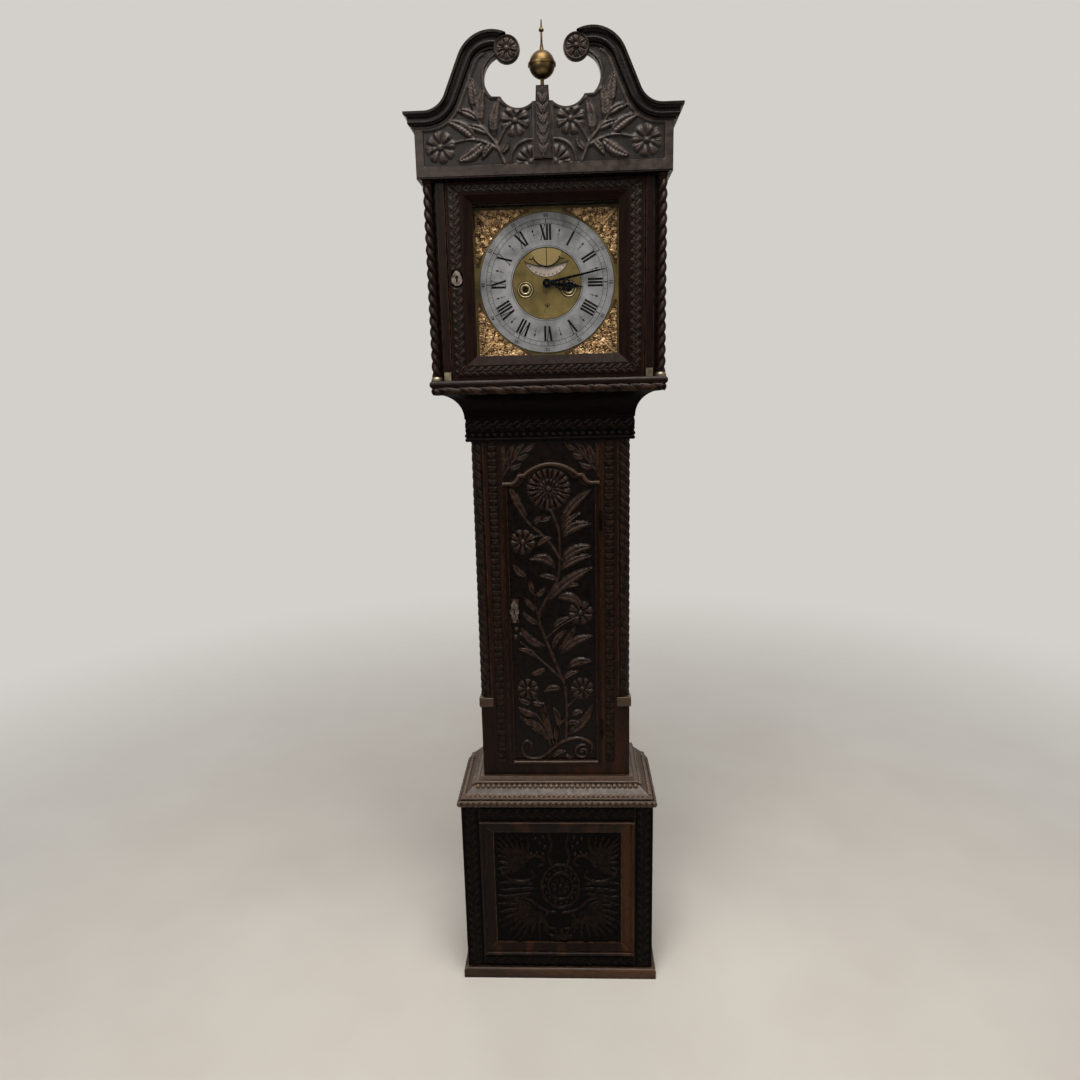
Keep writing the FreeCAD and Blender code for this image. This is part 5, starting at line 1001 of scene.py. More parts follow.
def pediment_relief(u, v):
    side = np.abs(u) + np.where(u > 0, 1.5, 0.0)
    bare = bare_board(u, v)[1]
    room = np.minimum.reduce([rim_distance(u, v, bare) - MARGIN_WIDTH, v - FIELD_FOOT, FIELD_SIDE - np.abs(u),
                              np.abs(u) - PLINTH_SIDE])
    h = 0.4 + punched(u, v, 3.4)
    branch = [(76, 1866), (92, 1900), (108, 1920), (123, 1938), (131, 1956), (138, 1978)]
    stem(side, v, h, branch, 4.0, 2.4, 5.0)
    stem(side, v, h, [(86, 1890), (116, 1905), (144, 1910), (180, 1904)], 3.2, 2.2, 4.6)
    stem(side, v, h, [(90, 1898), (78, 1920), (68, 1932)], 2.8, 2.0, 4.4)
    for base, tip, width, bend in (((116, 1903), (168, 1872), 20, -5), ((132, 1911), (186, 1944), 20, 6),
                                   ((96, 1914), (84, 1980), 18, -5), ((121, 1936), (112, 2000), 17, -5),
                                   ((134, 1962), (142, 2022), 18, 4), ((128, 1946), (166, 1962), 14, 4),
                                   ((108, 1920), (150, 1934), 13, 3), ((84, 1884), (66, 1908), 12, 3),
                                   ((96, 1902), (120, 1874), 13, 3)):
        leaf(side, v, h, base, tip, width * 1.2, 5.6, bend)
    flower(side, v, h, (202, 1898), 30, 8, 5.6, 0.2)
    flower(side, v, h, (55, 1941), 29, 8, 5.6, 0.5)
    stem(side, v, h, oval(DAISY_X + 1, DAISY_Z, BOW, BOW, math.pi, 24), 2.8, 2.8, 4.4)
    flower(side, v, h, (DAISY_X, DAISY_Z), 31, 12, 4.8, 0.1)
    field = np.where(room > 0, h * np.clip(room / 1.5, 0, 1), 0)
    return np.maximum(field + MARGIN * np.clip(1 - room / 1.2, 0, 1) * (room < 1.2), 0.15)


def under_neck(u, v):
    """The bare part of the board and a few millimetres under the swan-neck moulding."""
    on_board, bare = bare_board(u, v)
    return on_board & (bare | (rim_distance(u, v, ~bare) < UNDER))


carved("pediment_carving", "hood", (-BOARD_HALF, BOARD_HALF), (board_low[2] - 2, BOARD_TOP), 1.6,
       front_of(board_face), pediment_relief, carved_top, keep=under_neck, crest=6.0)

# %% [markdown]
# ## Rosettes and plinth
# Each swan neck ends in a turned disc carved with a flower. A disc is modelled on a grid bent into a
# circle, so that its rim is truly round. The plinth of the finial carries a column of small leaves.

# %% Rosettes
rosette_low, rosette_high = mm_box("scroll_rosettes")
ROSETTE = 25.0
rosette_x, rosette_z = rosette_high[0] - ROSETTE, (rosette_low[2] + rosette_high[2]) / 2


def rosette_relief(u, v):
    angle, far = u / ROSETTE, v / ROSETTE
    dish = 9.0 + 4.5 * np.exp(-((far - 0.9) / 0.085) ** 2) - 3.0 * np.clip((far - 0.95) / 0.05, 0, 1)
    phase = np.abs((angle * 8 / (2 * np.pi)) % 1 - 0.5) * 2
    petal = np.sin(np.pi * np.clip((far - 0.2) / 0.58, 0, 1)) ** 0.6 * np.clip(phase * 1.6, 0, 1) ** 0.6
    groove = 1 - 0.35 * np.exp(-((phase - 1) / 0.16) ** 2)
    return dish + np.maximum(4.8 * petal * groove, 7.4 * hump(far / 0.22))


def disc(sign):
    """Place on a round disc: u round it, v out from its middle."""
    def place(u, v, h):
        angle = u / ROSETTE
        x, z = sign * rosette_x + v * np.cos(angle), rosette_z + v * np.sin(angle)
        return np.stack([x, board_face - h, z], 1)
    return place


rosettes = [carved("rosette", "hood", (0, 2 * math.pi * ROSETTE), (0, ROSETTE), 0.9, disc(sign),
                   rosette_relief, carved_top, back=-0.05, weld=True, crest=16) for sign in (-1, 1)]
rosettes = join_pieces(rosettes, "carved_rosettes")
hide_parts("scroll_rosettes")

# %% Plinth leaves
plinth_low, plinth_high = mm_box("finial_plinth")
PLINTH_HALF, TAPER, TIER = 18, 6.5, 18  # half the grid, narrowing upwards, height of a pair of leaves


def plinth_half(v):
    share = (v - plinth_low[2]) / (plinth_high[2] - plinth_low[2])
    return plinth_high[0] - share * TAPER


def plinth_relief(u, v):
    side = np.abs(u)
    h = np.full(len(u), 0.3)
    for level_z in np.arange(plinth_low[2] + 6, plinth_high[2] - 16, TIER):
        leaf(side, v, h, (0.5, level_z), (11, level_z + 20), 9, 2.6, 2)
    stem(u, v, h, [(0, plinth_low[2] + 4), (0, plinth_high[2] - 6)], 1.6, 1.2, 2.4)
    return h * np.clip((plinth_half(v) - 1.5 - side) / 1.5, 0.1, 1)


carved("plinth_leaves", "hood", (-PLINTH_HALF, PLINTH_HALF), (plinth_low[2] + 1, plinth_high[2] - 1), 1.0,
       front_of(plinth_low[1]), plinth_relief, carved_top, crest=3.6,
       keep=lambda u, v: np.abs(u) < plinth_half(v) - 0.8)

# %% [markdown]
# ## Leaf bands
# The frame of the hood door, the frieze and the frame of the base all carry the same kind of border: a
# wavy stem with a leaf to each side in turn. One function draws it along any strip. On the hood door the
# four members are carved one by one, with room left for the key plate and its keyhole.

# %% Hood door
def leaf_band(along, across, half, pitch, rise):
    """A wavy stem in a strip with leaves to left and right in turn. Across runs from minus half to half."""
    cell = along / pitch
    wave = 0.30 * half * np.sin(2 * np.pi * cell)
    h = rise * 0.7 * hump((across - wave) / (0.16 * half))
    for shift, side in ((0.25, -1), (0.75, 1)):
        du = ((cell - shift + 0.5) % 1 - 0.5) * pitch
        dv = (across - side * 0.42 * half) * side
        turned_u, turned_v = du * 0.80 + dv * 0.60, -du * 0.60 + dv * 0.80
        far = np.hypot(turned_u / (0.42 * pitch), turned_v / (0.30 * half))
        rib = 1 - 0.45 * np.exp(-(turned_v / (0.07 * half)) ** 2)
        h = np.maximum(h, rise * hump(far) * rib)
    return (0.2 + h) * np.clip((half - np.abs(across)) / 1.5, 0, 1)


(door_left, hood_door_face, door_foot), (door_right, _, door_head) = mm_box("hood_door_frame")
DOOR_LEAF, DOOR_RISE = 17, 1.5  # pitch and height of the leaves
plate_low, plate_high = mm_box("hood_door_escutcheon")
plate_x, plate_z = (plate_low[0] + plate_high[0]) / 2, (plate_low[2] + plate_high[2]) / 2
block_top = mm_box("column_mounts")[1][2]
SIDE, HEAD, FOOT, BAND = 52.0, 38.5, 48.0, 0.615  # widths of the members, and the flat share of each
BLOCK_X, PLATE_ROOM = 170, 17  # where the brass block begins, and the bare round at the key plate


def door_members(u, v):
    """For the member at each point: distance in from its outer edge, width, length along it, its number."""
    inward = np.stack([u - door_left, door_right - u, v - door_foot, door_head - v])
    widths = np.array([SIDE, SIDE, FOOT, HEAD])[:, None]
    which = (inward / widths).argmin(0)
    every = np.arange(len(u))
    return inward[which, every], widths[which, 0], np.where(which < 2, v, u), which


def hood_door_relief(u, v):
    inward, width, along, _ = door_members(u, v)
    band = width * BAND
    clear = np.hypot(u - plate_x, v - plate_z + 2)
    h = leaf_band(along, inward - band / 2 - 1.5, band / 2 - 3.5, DOOR_LEAF, DOOR_RISE)
    return h * np.clip((clear - PLATE_ROOM) / 3, 0, 1)


def on_member(number):
    """Keeps the flat band of one member, with room for the brass block when the door stands open."""
    def keep(u, v):
        inward, width, _, which = door_members(u, v)
        by_block = (which == 1) & (u > BLOCK_X) & (v < block_top + 2)
        return (inward > 4) & (inward < width * BAND - 1) & ~by_block & (which == number)
    return keep


members = (("left", carved_upright, (door_left, door_left + SIDE), (door_foot, door_head)),
           ("right", carved_upright, (door_right - SIDE, door_right), (door_foot, door_head)),
           ("foot", carved_level, (door_left, door_right), (door_foot, door_foot + FOOT)),
           ("head", carved_level, (door_left, door_right), (door_head - HEAD, door_head)))
for number, (name, finish, across, upward) in enumerate(members):
    carved("hood_door_" + name, "hood_door_leaf", across, upward, 1.3, front_of(hood_door_face),
           hood_door_relief, finish, back=1.5, keep=on_member(number), crest=3.6)

# %% Keyhole of the hood door
KEYHOLE, KEYHOLE_UP, KEYHOLE_DEEP = 3.4, 1.5, 1.0
FACING_OUT = (math.pi / 2, 0, 0)  # turns a round primitive to face the room
# the keyhole is a dark disc on the plate, painted shade of the hole
keyhole = primitive("cylinder", vertices=32, radius=KEYHOLE * MM, depth=KEYHOLE_DEEP * MM,
                    location=Vector((plate_x, plate_low[1], plate_z + KEYHOLE_UP)) * MM, rotation=FACING_OUT)
dress(join_pieces([keyhole], "hood_keyhole"), shade_dark_brass, "hood_door_leaf", "brass")

# %% [markdown]
# ## Frieze and rope
# The frieze under the hood and the half round above it run across the front and back along both sides. One
# function lays a relief along all three, from an outline that says how far out from the trunk it stands.

# %% Frieze and rope
BACK_END = 116.0  # the side runs stop a little in front of the wall side


def carved_runs(name, reach, inset, upward, step, outline, relief, finish, **more):
    """A relief along the front of the case and back along both sides. The outline takes v and the height of
    the relief, and gives how far out from the trunk the point lies and how high."""
    def place_on(sign):
        def place(u, v, h):
            out, z = outline(v, h)
            if sign:
                return np.stack([sign * (trunk_half + out), u, z], 1)
            return np.stack([u, frame_face - out, z], 1)
        return place

    half, front = trunk_half + reach - inset, frame_face - reach + inset
    for side, sign, along in (("front", 0, (-half, half)), ("left", -1, (front, BACK_END)),
                              ("right", 1, (front, BACK_END))):
        carved(name + "_" + side, "case", along, upward, step, place_on(sign), relief, finish, **more)


frieze_low, frieze_high = mm_box("frieze")
FRIEZE_STAND = 8.0  # the board in front of the trunk
FRIEZE_HALF, FRIEZE_PITCH, FRIEZE_RISE = 13, 22, 1.8  # its leaves
BEAD_HEIGHT, BEAD_PITCH, BEAD_RADIUS, BEAD_RISE = 8.0, 16, 4.2, 3.0  # the beads at its foot
frieze_band = (frieze_low[2] + BEAD_HEIGHT + 1, frieze_high[2] - 1)
frieze_middle = sum(frieze_band) / 2


def frieze_relief(u, v):
    dots = np.hypot((u / BEAD_PITCH % 1 - 0.5) * BEAD_PITCH, v - frieze_band[0] - BEAD_HEIGHT / 2)
    leaves = leaf_band(u, v - frieze_middle - BEAD_HEIGHT / 2, FRIEZE_HALF, FRIEZE_PITCH, FRIEZE_RISE)
    return np.maximum(0.2 + leaves, BEAD_RISE * hump(dots / BEAD_RADIUS))


carved_runs("frieze", FRIEZE_STAND, 1, frieze_band, 1.3, lambda v, h: (FRIEZE_STAND + h, v), frieze_relief,
            carved_base, crest=4.0)

throat_low, throat_high = mm_box("throat_moulding")
ROPE = (throat_high[2] - throat_low[2]) * 0.19 / 2  # half the height of the round under the hood
ROPE_PITCH, ROPE_RISE, ROPE_SLOPE = 45, 2.8, 1.6  # its strands
rope_z = throat_high[2] - ROPE
rope_reach = throat_high[0] - ROPE - trunk_half


def rope_outline(v, h):
    angle = v / ROPE
    out = rope_reach + (ROPE * 0.55 + h) * np.cos(angle) + ROPE * 0.45
    return out, rope_z + (ROPE + h) * np.sin(angle)


def rope_relief(u, v):
    return 0.1 + slanted(v, u, ROPE * 1.5, ROPE_PITCH, ROPE_RISE, ROPE_SLOPE)


carved_runs("rope", rope_reach, 0, (-ROPE * 1.2, ROPE * 1.2), 1.0, rope_outline, rope_relief, carved_low,
            back=1.0)

# %% [markdown]
# ## The base moulding
# The step from the wide base to the narrow trunk is carved with three rows: a gadrooned edge of upright
# lobes at the bottom, a row of small beads over it, and a row of beads near the top, bright from rubbing and
# from painted highlight. A bead is one small ball, repeated by an array along the front and both sides.

# %% Rows of beads
moulding_low = mm_box("base_moulding")[0]
edge_out = frame_face - moulding_low[1]
MOULDING = 54  # height of the moulding


def repeat_along(piece, axis, pitch, length):
    """Repeat a piece along one axis with an array, and apply it."""
    array = piece.modifiers.new("repeat", "ARRAY")
    array.count = max(1, int(length / pitch))
    array.use_relative_offset = False
    array.use_constant_offset = True
    array.constant_offset_displace = [pitch * MM if axis == number else 0 for number in range(3)]
    bpy.context.view_layer.objects.active = piece
    bpy.ops.object.modifier_apply(modifier=array.name)


def bead_rows(name, out, z, radius, pitch):
    """Beads round the front and both sides of the base, a given reach out from the trunk."""
    half, front = trunk_half + out, frame_face - out
    spare = (2 * half % pitch) / 2
    side_length = BACK_END - front - pitch
    rows = []
    for start, axis, length in (((spare + pitch / 2 - half, front, z), 0, 2 * half - 2 * spare + 1),
                                ((-half, front + pitch, z), 1, side_length),
                                ((half, front + pitch, z), 1, side_length)):
        row = primitive("uv_sphere", segments=12, ring_count=8, radius=radius * MM,
                        location=Vector(start) * MM)
        bpy.ops.object.shade_smooth()
        repeat_along(row, axis, pitch, length)
        rows.append(row)
    dress(join_pieces(rows, name), beaded_highlit_oak, "case")


# Share of the way out, share of the way up, radius and pitch of each row
for name, out, up, radius, pitch in (("upper_beads", 0.42, 0.68, 6.0, 12.5),
                                     ("lower_beads", 0.79, 0.39, 5.4, 11.6)):
    bead_rows(name, out * edge_out, moulding_low[2] + up * MOULDING, radius, pitch)

# %% Gadrooned edge
GADROON, LOBE_RISE, EDGE_SINK = 14, 4.6, 0.6  # pitch and height of a lobe, its rise, how deep it is let in
edge_foot = moulding_low[2] + 0.5


def gadroons(u, v):
    lobe = np.clip(1 - ((u / GADROON % 1 - 0.5) * 2.3) ** 2, 0, 1)
    swell = np.clip(np.sin(np.pi * (v - edge_foot) / GADROON), 0, 1)
    return 0.1 + LOBE_RISE * np.sqrt(lobe) * np.sqrt(swell)


carved_runs("gadroons", edge_out, 0.5, (edge_foot, edge_foot + GADROON), 1.1,
            lambda v, h: (edge_out - EDGE_SINK + h, v), gadroons, rubbed_highlit_oak, back=1.0, crest=4)

# %% [markdown]
# ## The base frame and its panel
# Stiles and rails carry the leaf band all round. The panel inside is carved with a beaded oval in the
# middle, a fan of leaves in each corner, and scrolls between them. It is worn nearly flat, so the relief
# is low.

# %% Base frame
base_low, base_high = mm_box("base_frame")
base_face, base_half, base_top = base_low[1], base_high[0], base_high[2]
STILE, TOP_RAIL, SKIRT, FOOT_TOP = 42.7, 40.0, 26.0, 57  # widths, skirting, top of the foot rail
STRIP_HALF, LEAF_PITCH, LEAF_RISE = 19, 22, 2.2  # the leaf band
rail_half = base_half - STILE - 1
for name, sign in SIDES:
    middle = sign * (base_half - STILE / 2)
    carved("base_stile_" + name, "case", (middle - STRIP_HALF, middle + STRIP_HALF),
           (SKIRT + 4, base_top - 3), 1.5, front_of(base_face),
           lambda u, v: leaf_band(v, u - middle, STRIP_HALF - 2, LEAF_PITCH, LEAF_RISE), carved_base,
           crest=3.4)
for name, low, high in (("top", base_top - TOP_RAIL + 3, base_top - 3), ("foot", SKIRT + 3, FOOT_TOP)):
    middle, half = (low + high) / 2, (high - low) / 2 - 1.5
    carved("base_rail_" + name, "case", (-rail_half, rail_half), (low, high), 1.5, front_of(base_face),
           lambda u, v: leaf_band(u, v - middle, half, LEAF_PITCH, LEAF_RISE), carved_base, crest=3.4)

# %% Base panel
FIELD, FIELD_LOW, FIELD_HIGH = 151.0, 93.0, 391.0  # half width, foot and head of the carved field
OVAL_X, OVAL_Z, RIBS = 6, 246, 11  # middle of the oval, and ribs in a fan
panel_face = depth_at("base_panel", 0, OVAL_Z)


def corner_fans(u, v, h):
    """Ribs that spread from a root into each corner, from a first to a last direction."""
    for x, z, first, last, reach in ((-76, 300, 86, 194, 104), (82, 300, -14, 94, 104),
                                     (-48, 190, 164, 282, 118), (56, 188, -102, 16, 118)):
        for angle in np.radians(np.linspace(first, last, RIBS)):
            way = np.array([math.cos(angle), math.sin(angle)])
            tip = np.clip((x, z) + reach * way, (3 - FIELD, FIELD_LOW + 3), (FIELD - 3, FIELD_HIGH - 3))
            leaf(u, v, h, (x, z) + 0.12 * reach * way, tip, 12, 4.4)
    for lean in np.radians((-62, -32, 0, 32, 62)):
        tip = (OVAL_X + 34 * math.sin(lean), 96 + 34 * math.cos(lean))
        leaf(u, v, h, (OVAL_X, 95), tip, 13, 4.4)


def panel_scrolls(u, v, h):
    """Scrolls, level leaves and pearls, drawn for one side and mirrored. The right side is a little off."""
    scrolls = ([(84, 302), (72, 322), (54, 330), (36, 322), (33, 308), (44, 302)],
               [(136, 286), (122, 268), (98, 259), (72, 262), (58, 276), (64, 286)],
               [(130, 196), (114, 207), (90, 214), (66, 206), (46, 188), (22, 176), (4, 173)],
               [(14, 300), (22, 328), (15, 356), (20, 388)], [(26, 176), (34, 156), (24, 132), (10, 128)])
    leaves = (((50, 250), (146, 254), 4), ((50, 242), (142, 236), -3), ((58, 228), (138, 219), -4))
    pearls = ((84, 312), (76, 326), (64, 334), (50, 337), (36, 333), (30, 352), (42, 362), (52, 374),
              (34, 378))
    for sign, shift in ((-1, 0), (1, 6)):
        for points in scrolls:
            stem(u, v, h, [(sign * x + shift, z) for x, z in points], 4.4, 3.2, 4.8)
        for (x, z), tip, bend in leaves:
            tip = (sign * tip[0] + shift / 2, tip[1])
            leaf(u, v, h, (sign * x + shift, z), tip, 12, 3.6, sign * bend)
        for x, z in pearls:
            pearl(u, v, h, (sign * x + shift, z), 4.6, 5.46)


def panel_relief(u, v):
    h = 0.5 + punched(u, v, 3.6)
    corner_fans(u, v, h)
    panel_scrolls(u, v, h)
    for wide, tall in ((45, 58), (30, 36)):
        stem(u, v, h, oval(OVAL_X, OVAL_Z, wide, tall, 2 * math.pi, 40), 4.2, 4.2, 4.6)
    for spot in oval(OVAL_X, OVAL_Z, 37.5, 47, 2 * math.pi, 17)[:-1]:
        pearl(u, v, h, spot, 4.6, 4.62)
    flower(u, v, h, (OVAL_X, OVAL_Z), 25, 8, 4.4, 0.2)
    edge = np.minimum(FIELD - np.abs(u), np.minimum(v - FIELD_LOW, FIELD_HIGH - v))
    return h * np.clip(edge / 4, 0.05, 1)


carved("base_panel_carving", "case", (-FIELD, FIELD), (FIELD_LOW, FIELD_HIGH), 1.6, front_of(panel_face),
       panel_relief, carved_base, crest=5.6)

# %% [markdown]
# ## Columns of the hood
# A turned and carved rope of two strands stands at each front corner of the hood, the left one a mirror
# image of the right one. Two round lobes make the section. The screw modifier carries it up and turns it
# as it rises. A turned head closes the top, and a strip of the upright shows dark behind each column.

# %% Rope columns
STRANDS, LEAD = 2, 46.0  # strands of the rope, and the height of one full turn
LOBE, LOBE_OUT = 7.2, 2.8  # radius of a strand, and its middle from the axis
HEAD_HEIGHT, HEAD_RADIUS, NECK = 8.0, 11.5, 8.0  # turned head, and its radius where it meets the rope
column_low, column_high = mm_box("twisted_columns")
column_x, column_y = column_high[0] - HEAD_RADIUS, column_low[1] + HEAD_RADIUS
rope_length = column_high[2] - column_low[2] - HEAD_HEIGHT + 1
turns = rope_length / LEAD


def lobed(angle):
    """Distance from the axis to the outline of the strands."""
    turn = (angle + math.pi / STRANDS) % (2 * math.pi / STRANDS) - math.pi / STRANDS
    return LOBE_OUT * math.cos(turn) + math.sqrt(LOBE ** 2 - (LOBE_OUT * math.sin(turn)) ** 2)


columns = []
for sign in (-1, 1):
    rope = primitive("circle", vertices=64, radius=MM, fill_type="NOTHING")
    for vertex in rope.data.vertices:
        vertex.co *= lobed(math.atan2(vertex.co.y, vertex.co.x))
    twist = rope.modifiers.new("twist", "SCREW")
    twist.angle, twist.screw_offset = sign * 2 * math.pi * turns, rope_length * MM
    twist.steps = twist.render_steps = round(turns * 40)
    bpy.ops.object.modifier_apply(modifier="twist")
    edit(True)
    bpy.ops.mesh.select_all(action="SELECT")
    bpy.ops.mesh.fill_holes(sides=0)
    bpy.ops.mesh.select_all(action="SELECT")
    bpy.ops.mesh.normals_make_consistent(inside=False)
    edit(False)
    rope.location = (sign * column_x * MM, column_y * MM, column_low[2] * MM)
    head = (sign * column_x * MM, column_y * MM, (column_high[2] - HEAD_HEIGHT / 2) * MM)
    columns += [rope, primitive("cone", vertices=48, radius1=NECK * MM, radius2=HEAD_RADIUS * MM,
                                depth=HEAD_HEIGHT * MM, location=head)]
columns = join_pieces(columns, "rope_columns")
bpy.ops.object.shade_smooth_by_angle(angle=SMOOTH)
dress(columns, upright_oak, "hood")
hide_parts("twisted_columns")

# %% Strips behind the columns
upright_low, upright_high = mm_box("hood_uprights")
STRIP = 9.0  # width beside the upright
strip_front = column_y + LOBE + LOBE_OUT + 1
strips = []
for sign in (-1, 1):
    x0, x1 = sorted((sign * upright_high[0], sign * (upright_high[0] + STRIP)))
    strips.append(block((x0, strip_front, upright_low[2]), (x1, upright_high[1], upright_high[2])))
dress(join_pieces(strips, "hood_upright_strips"), upright_oak, "hood")

# %% [markdown]
# ## The dial
# The chapter ring is engraved and filled with black wax: a thick and a thin stroke to every letter, serifs
# at the ends, a mark at each half hour, and two circles with the minutes between them. Each mark is a flat
# sliver a tenth of a millimetre proud, drawn in a small frame that turns with the hour.

# %% Engraved marks
dial_low, dial_high = mm_box("dial_plate")
dial_z = (dial_low[2] + dial_high[2]) / 2
ring_low, ring_high = mm_box("chapter_ring")
ring_face, ring_radius = ring_low[1], ring_high[0]
PLAIN_X, PLAIN_DROP = 20, 45  # a place on the plate that nothing covers
plate_face = depth_at("dial_plate", PLAIN_X, dial_z - PLAIN_DROP)
PROUD, LET_IN = 0.12, 0.05  # how far a mark stands out, and how deep it begins


def on_dial(angle, *corners):
    """Corners given as (across, out) at a clock angle in degrees, as (x, z)."""
    turn = math.radians(angle)
    right, up = (math.cos(turn), -math.sin(turn)), (math.sin(turn), math.cos(turn))
    return [(s * right[0] + t * up[0], dial_z + s * right[1] + t * up[1]) for s, t in corners]


def bar(angle, start, end, width, tip=None):
    """A straight stroke between two points, with a width at its start and another at its end."""
    (s0, t0), (s1, t1) = start, end
    far = math.hypot(s1 - s0, t1 - t0)
    side_s, side_t = (t1 - t0) / far / 2, -(s1 - s0) / far / 2
    tip = width if tip is None else tip
    return on_dial(angle, (s0 - side_s * width, t0 - side_t * width),
                   (s0 + side_s * width, t0 + side_t * width),
                   (s1 + side_s * tip, t1 + side_t * tip), (s1 - side_s * tip, t1 - side_t * tip))


def circle_line(radius, width, start=0, end=360, rise=0.0, steps=120, shift=0.0):
    """A thin line round part of a circle, which lies a rise above the dial centre and a shift beside it."""
    turns = np.radians(np.linspace(start, end, steps + 1))
    reaches = (radius - width / 2, radius + width / 2)
    edge = [[(shift + r * math.sin(a), dial_z + rise + r * math.cos(a)) for r in reaches] for a in turns]
    return [[first[0], first[1], second[1], second[0]] for first, second in zip(edge, edge[1:])]


def marks(name, quads, level, slot_name):
    """Flat marks on an upright face, as one thin piece."""
    corners = [(x * MM, (level + LET_IN) * MM, z * MM) for quad in quads for x, z in quad]
    mesh = bpy.data.meshes.new(name)
    mesh.from_pydata(corners, [], [tuple(range(4 * n, 4 * n + 4)) for n in range(len(quads))])
    piece = bpy.data.objects.new(name, mesh)
    bpy.context.scene.collection.objects.link(piece)
    bpy.ops.object.select_all(action="DESELECT")
    piece.select_set(True)
    bpy.context.view_layer.objects.active = piece
    edit(True)
    bpy.ops.mesh.select_all(action="SELECT")
    bpy.ops.mesh.remove_doubles(threshold=0.001 * MM)
    bpy.ops.mesh.extrude_region_move(TRANSFORM_OT_translate={"value": (0, -(PROUD + LET_IN) * MM, 0)})
    bpy.ops.mesh.select_all(action="SELECT")
    bpy.ops.mesh.normals_make_consistent(inside=False)
    edit(False)
    dress(piece, wax, "case", slot_name)


# %% Hour letters
HOURS = ("XII", "I", "II", "III", "IIII", "V", "VI", "VII", "VIII", "IX", "X", "XI")
WIDE = {"I": 6.4, "V": 11.0, "X": 11.0}
FOOT_R, HEAD_R, THICK, THIN, SERIF, SERIF_HALF = 86.5, 116.5, 4.4, 1.4, 1.1, 2.6
MINUTE_IN, MINUTE_OUT = 118.8, 127.2  # ends of a minute stroke


def letter(angle, kind, middle):
    """The strokes of one letter, its middle a given way along the word."""
    half = WIDE[kind] / 2 - 1.2
    low, high = FOOT_R, HEAD_R
    ends = {"I": [(0, low), (0, high)], "V": [(-half, high), (half, high)],
            "X": [(-half, low), (half, low), (-half, high), (half, high)]}[kind]
    strokes = {"I": [(((0, low), (0, high)), THICK)],
               "V": [(((-half, high), (0, low)), THICK), (((half, high), (0, low)), THIN)],
               "X": [(((-half, high), (half, low)), THICK), (((half, high), (-half, low)), THIN)]}[kind]
    strokes += [(((s - SERIF_HALF, t), (s + SERIF_HALF, t)), SERIF) for s, t in ends]
    return [bar(angle, (a[0] + middle, a[1]), (b[0] + middle, b[1]), width) for (a, b), width in strokes]


ring_marks = []
for hour, word in enumerate(HOURS):
    angle = 30 * hour
    place = -sum(WIDE[kind] for kind in word) / 2
    for kind in word:
        ring_marks += letter(angle, kind, place + WIDE[kind] / 2)
        place += WIDE[kind]
    half_past = angle + 15
    ring_marks += [bar(half_past, (0, 92), (0, 105), 0.8), bar(half_past, (0, 104), (0, 107), 0.6, 4.2),
                   bar(half_past, (0, 107), (0, 111), 4.2, 0.4), bar(half_past, (-2.6, 99), (2.6, 99), 0.8)]
for minute in range(60):
    ring_marks.append(bar(6 * minute, (0, MINUTE_IN), (0, MINUTE_OUT), 1.6 if minute % 5 == 0 else 0.55))
for radius, width in ((75.5, 0.8), (118.5, 0.8), (127.5, 0.8), (140.9, 0.9)):
    ring_marks += circle_line(radius, width)
marks("ring_letters", ring_marks, ring_face, "silvered_brass")

# %% [markdown]
# Plain figures count the minutes by fives outside the track, and the days on the calendar disc, which
# turns behind its crescent opening. They are set as text, given a little thickness, and made into meshes.

# %% Figures
BOLD = 0.12  # how much thicker the figures are drawn


def figures(name, body, count, step, size, radius, centre_z, level):
    """Numbers set round a circle, tops outward, as one thin piece."""
    pieces = []
    for number in range(1, count + 1):
        bpy.ops.object.select_all(action="DESELECT")
        bpy.ops.object.text_add()
        piece = bpy.context.object
        piece.data.body = str(step * number)
        piece.data.size = size * MM
        piece.data.align_x, piece.data.align_y = "CENTER", "CENTER"
        piece.data.extrude = PROUD * MM
        piece.data.offset = BOLD * MM
        piece.data.resolution_u = 3
        bpy.ops.object.convert(target="MESH")
        centre = Matrix.Translation((0, level * MM, centre_z * MM))
        turn = Matrix.Rotation(2 * math.pi * number / count, 4, "Y")
        outward = Matrix.Translation((0, 0, radius * MM))
        piece.data.transform(centre @ turn @ outward @ Matrix.Rotation(math.radians(90), 4, "X"))
        pieces.append(piece)
    whole = join_pieces(pieces, name)
    whole.data.materials.clear()
    dress(whole, wax, body, "silvered_brass")


disc_low, disc_high = mm_box("calendar_disc")
disc_z = (disc_low[2] + disc_high[2]) / 2
figures("minute_figures", "case", count=12, step=5, size=9.5, radius=134.0, centre_z=dial_z, level=ring_face)
figures("calendar_figures", "calendar", count=31, step=1, size=6.0, radius=44.5, centre_z=disc_z,
        level=disc_low[1])

# %% [markdown]
# On the matted centre are a fine line along the crescent, an upright line over it, and a small leaf
# flourish near the foot. Turned collars stand round the winding holes, and the square ends of the
# barrels show inside, dark as painted shade in the holes.

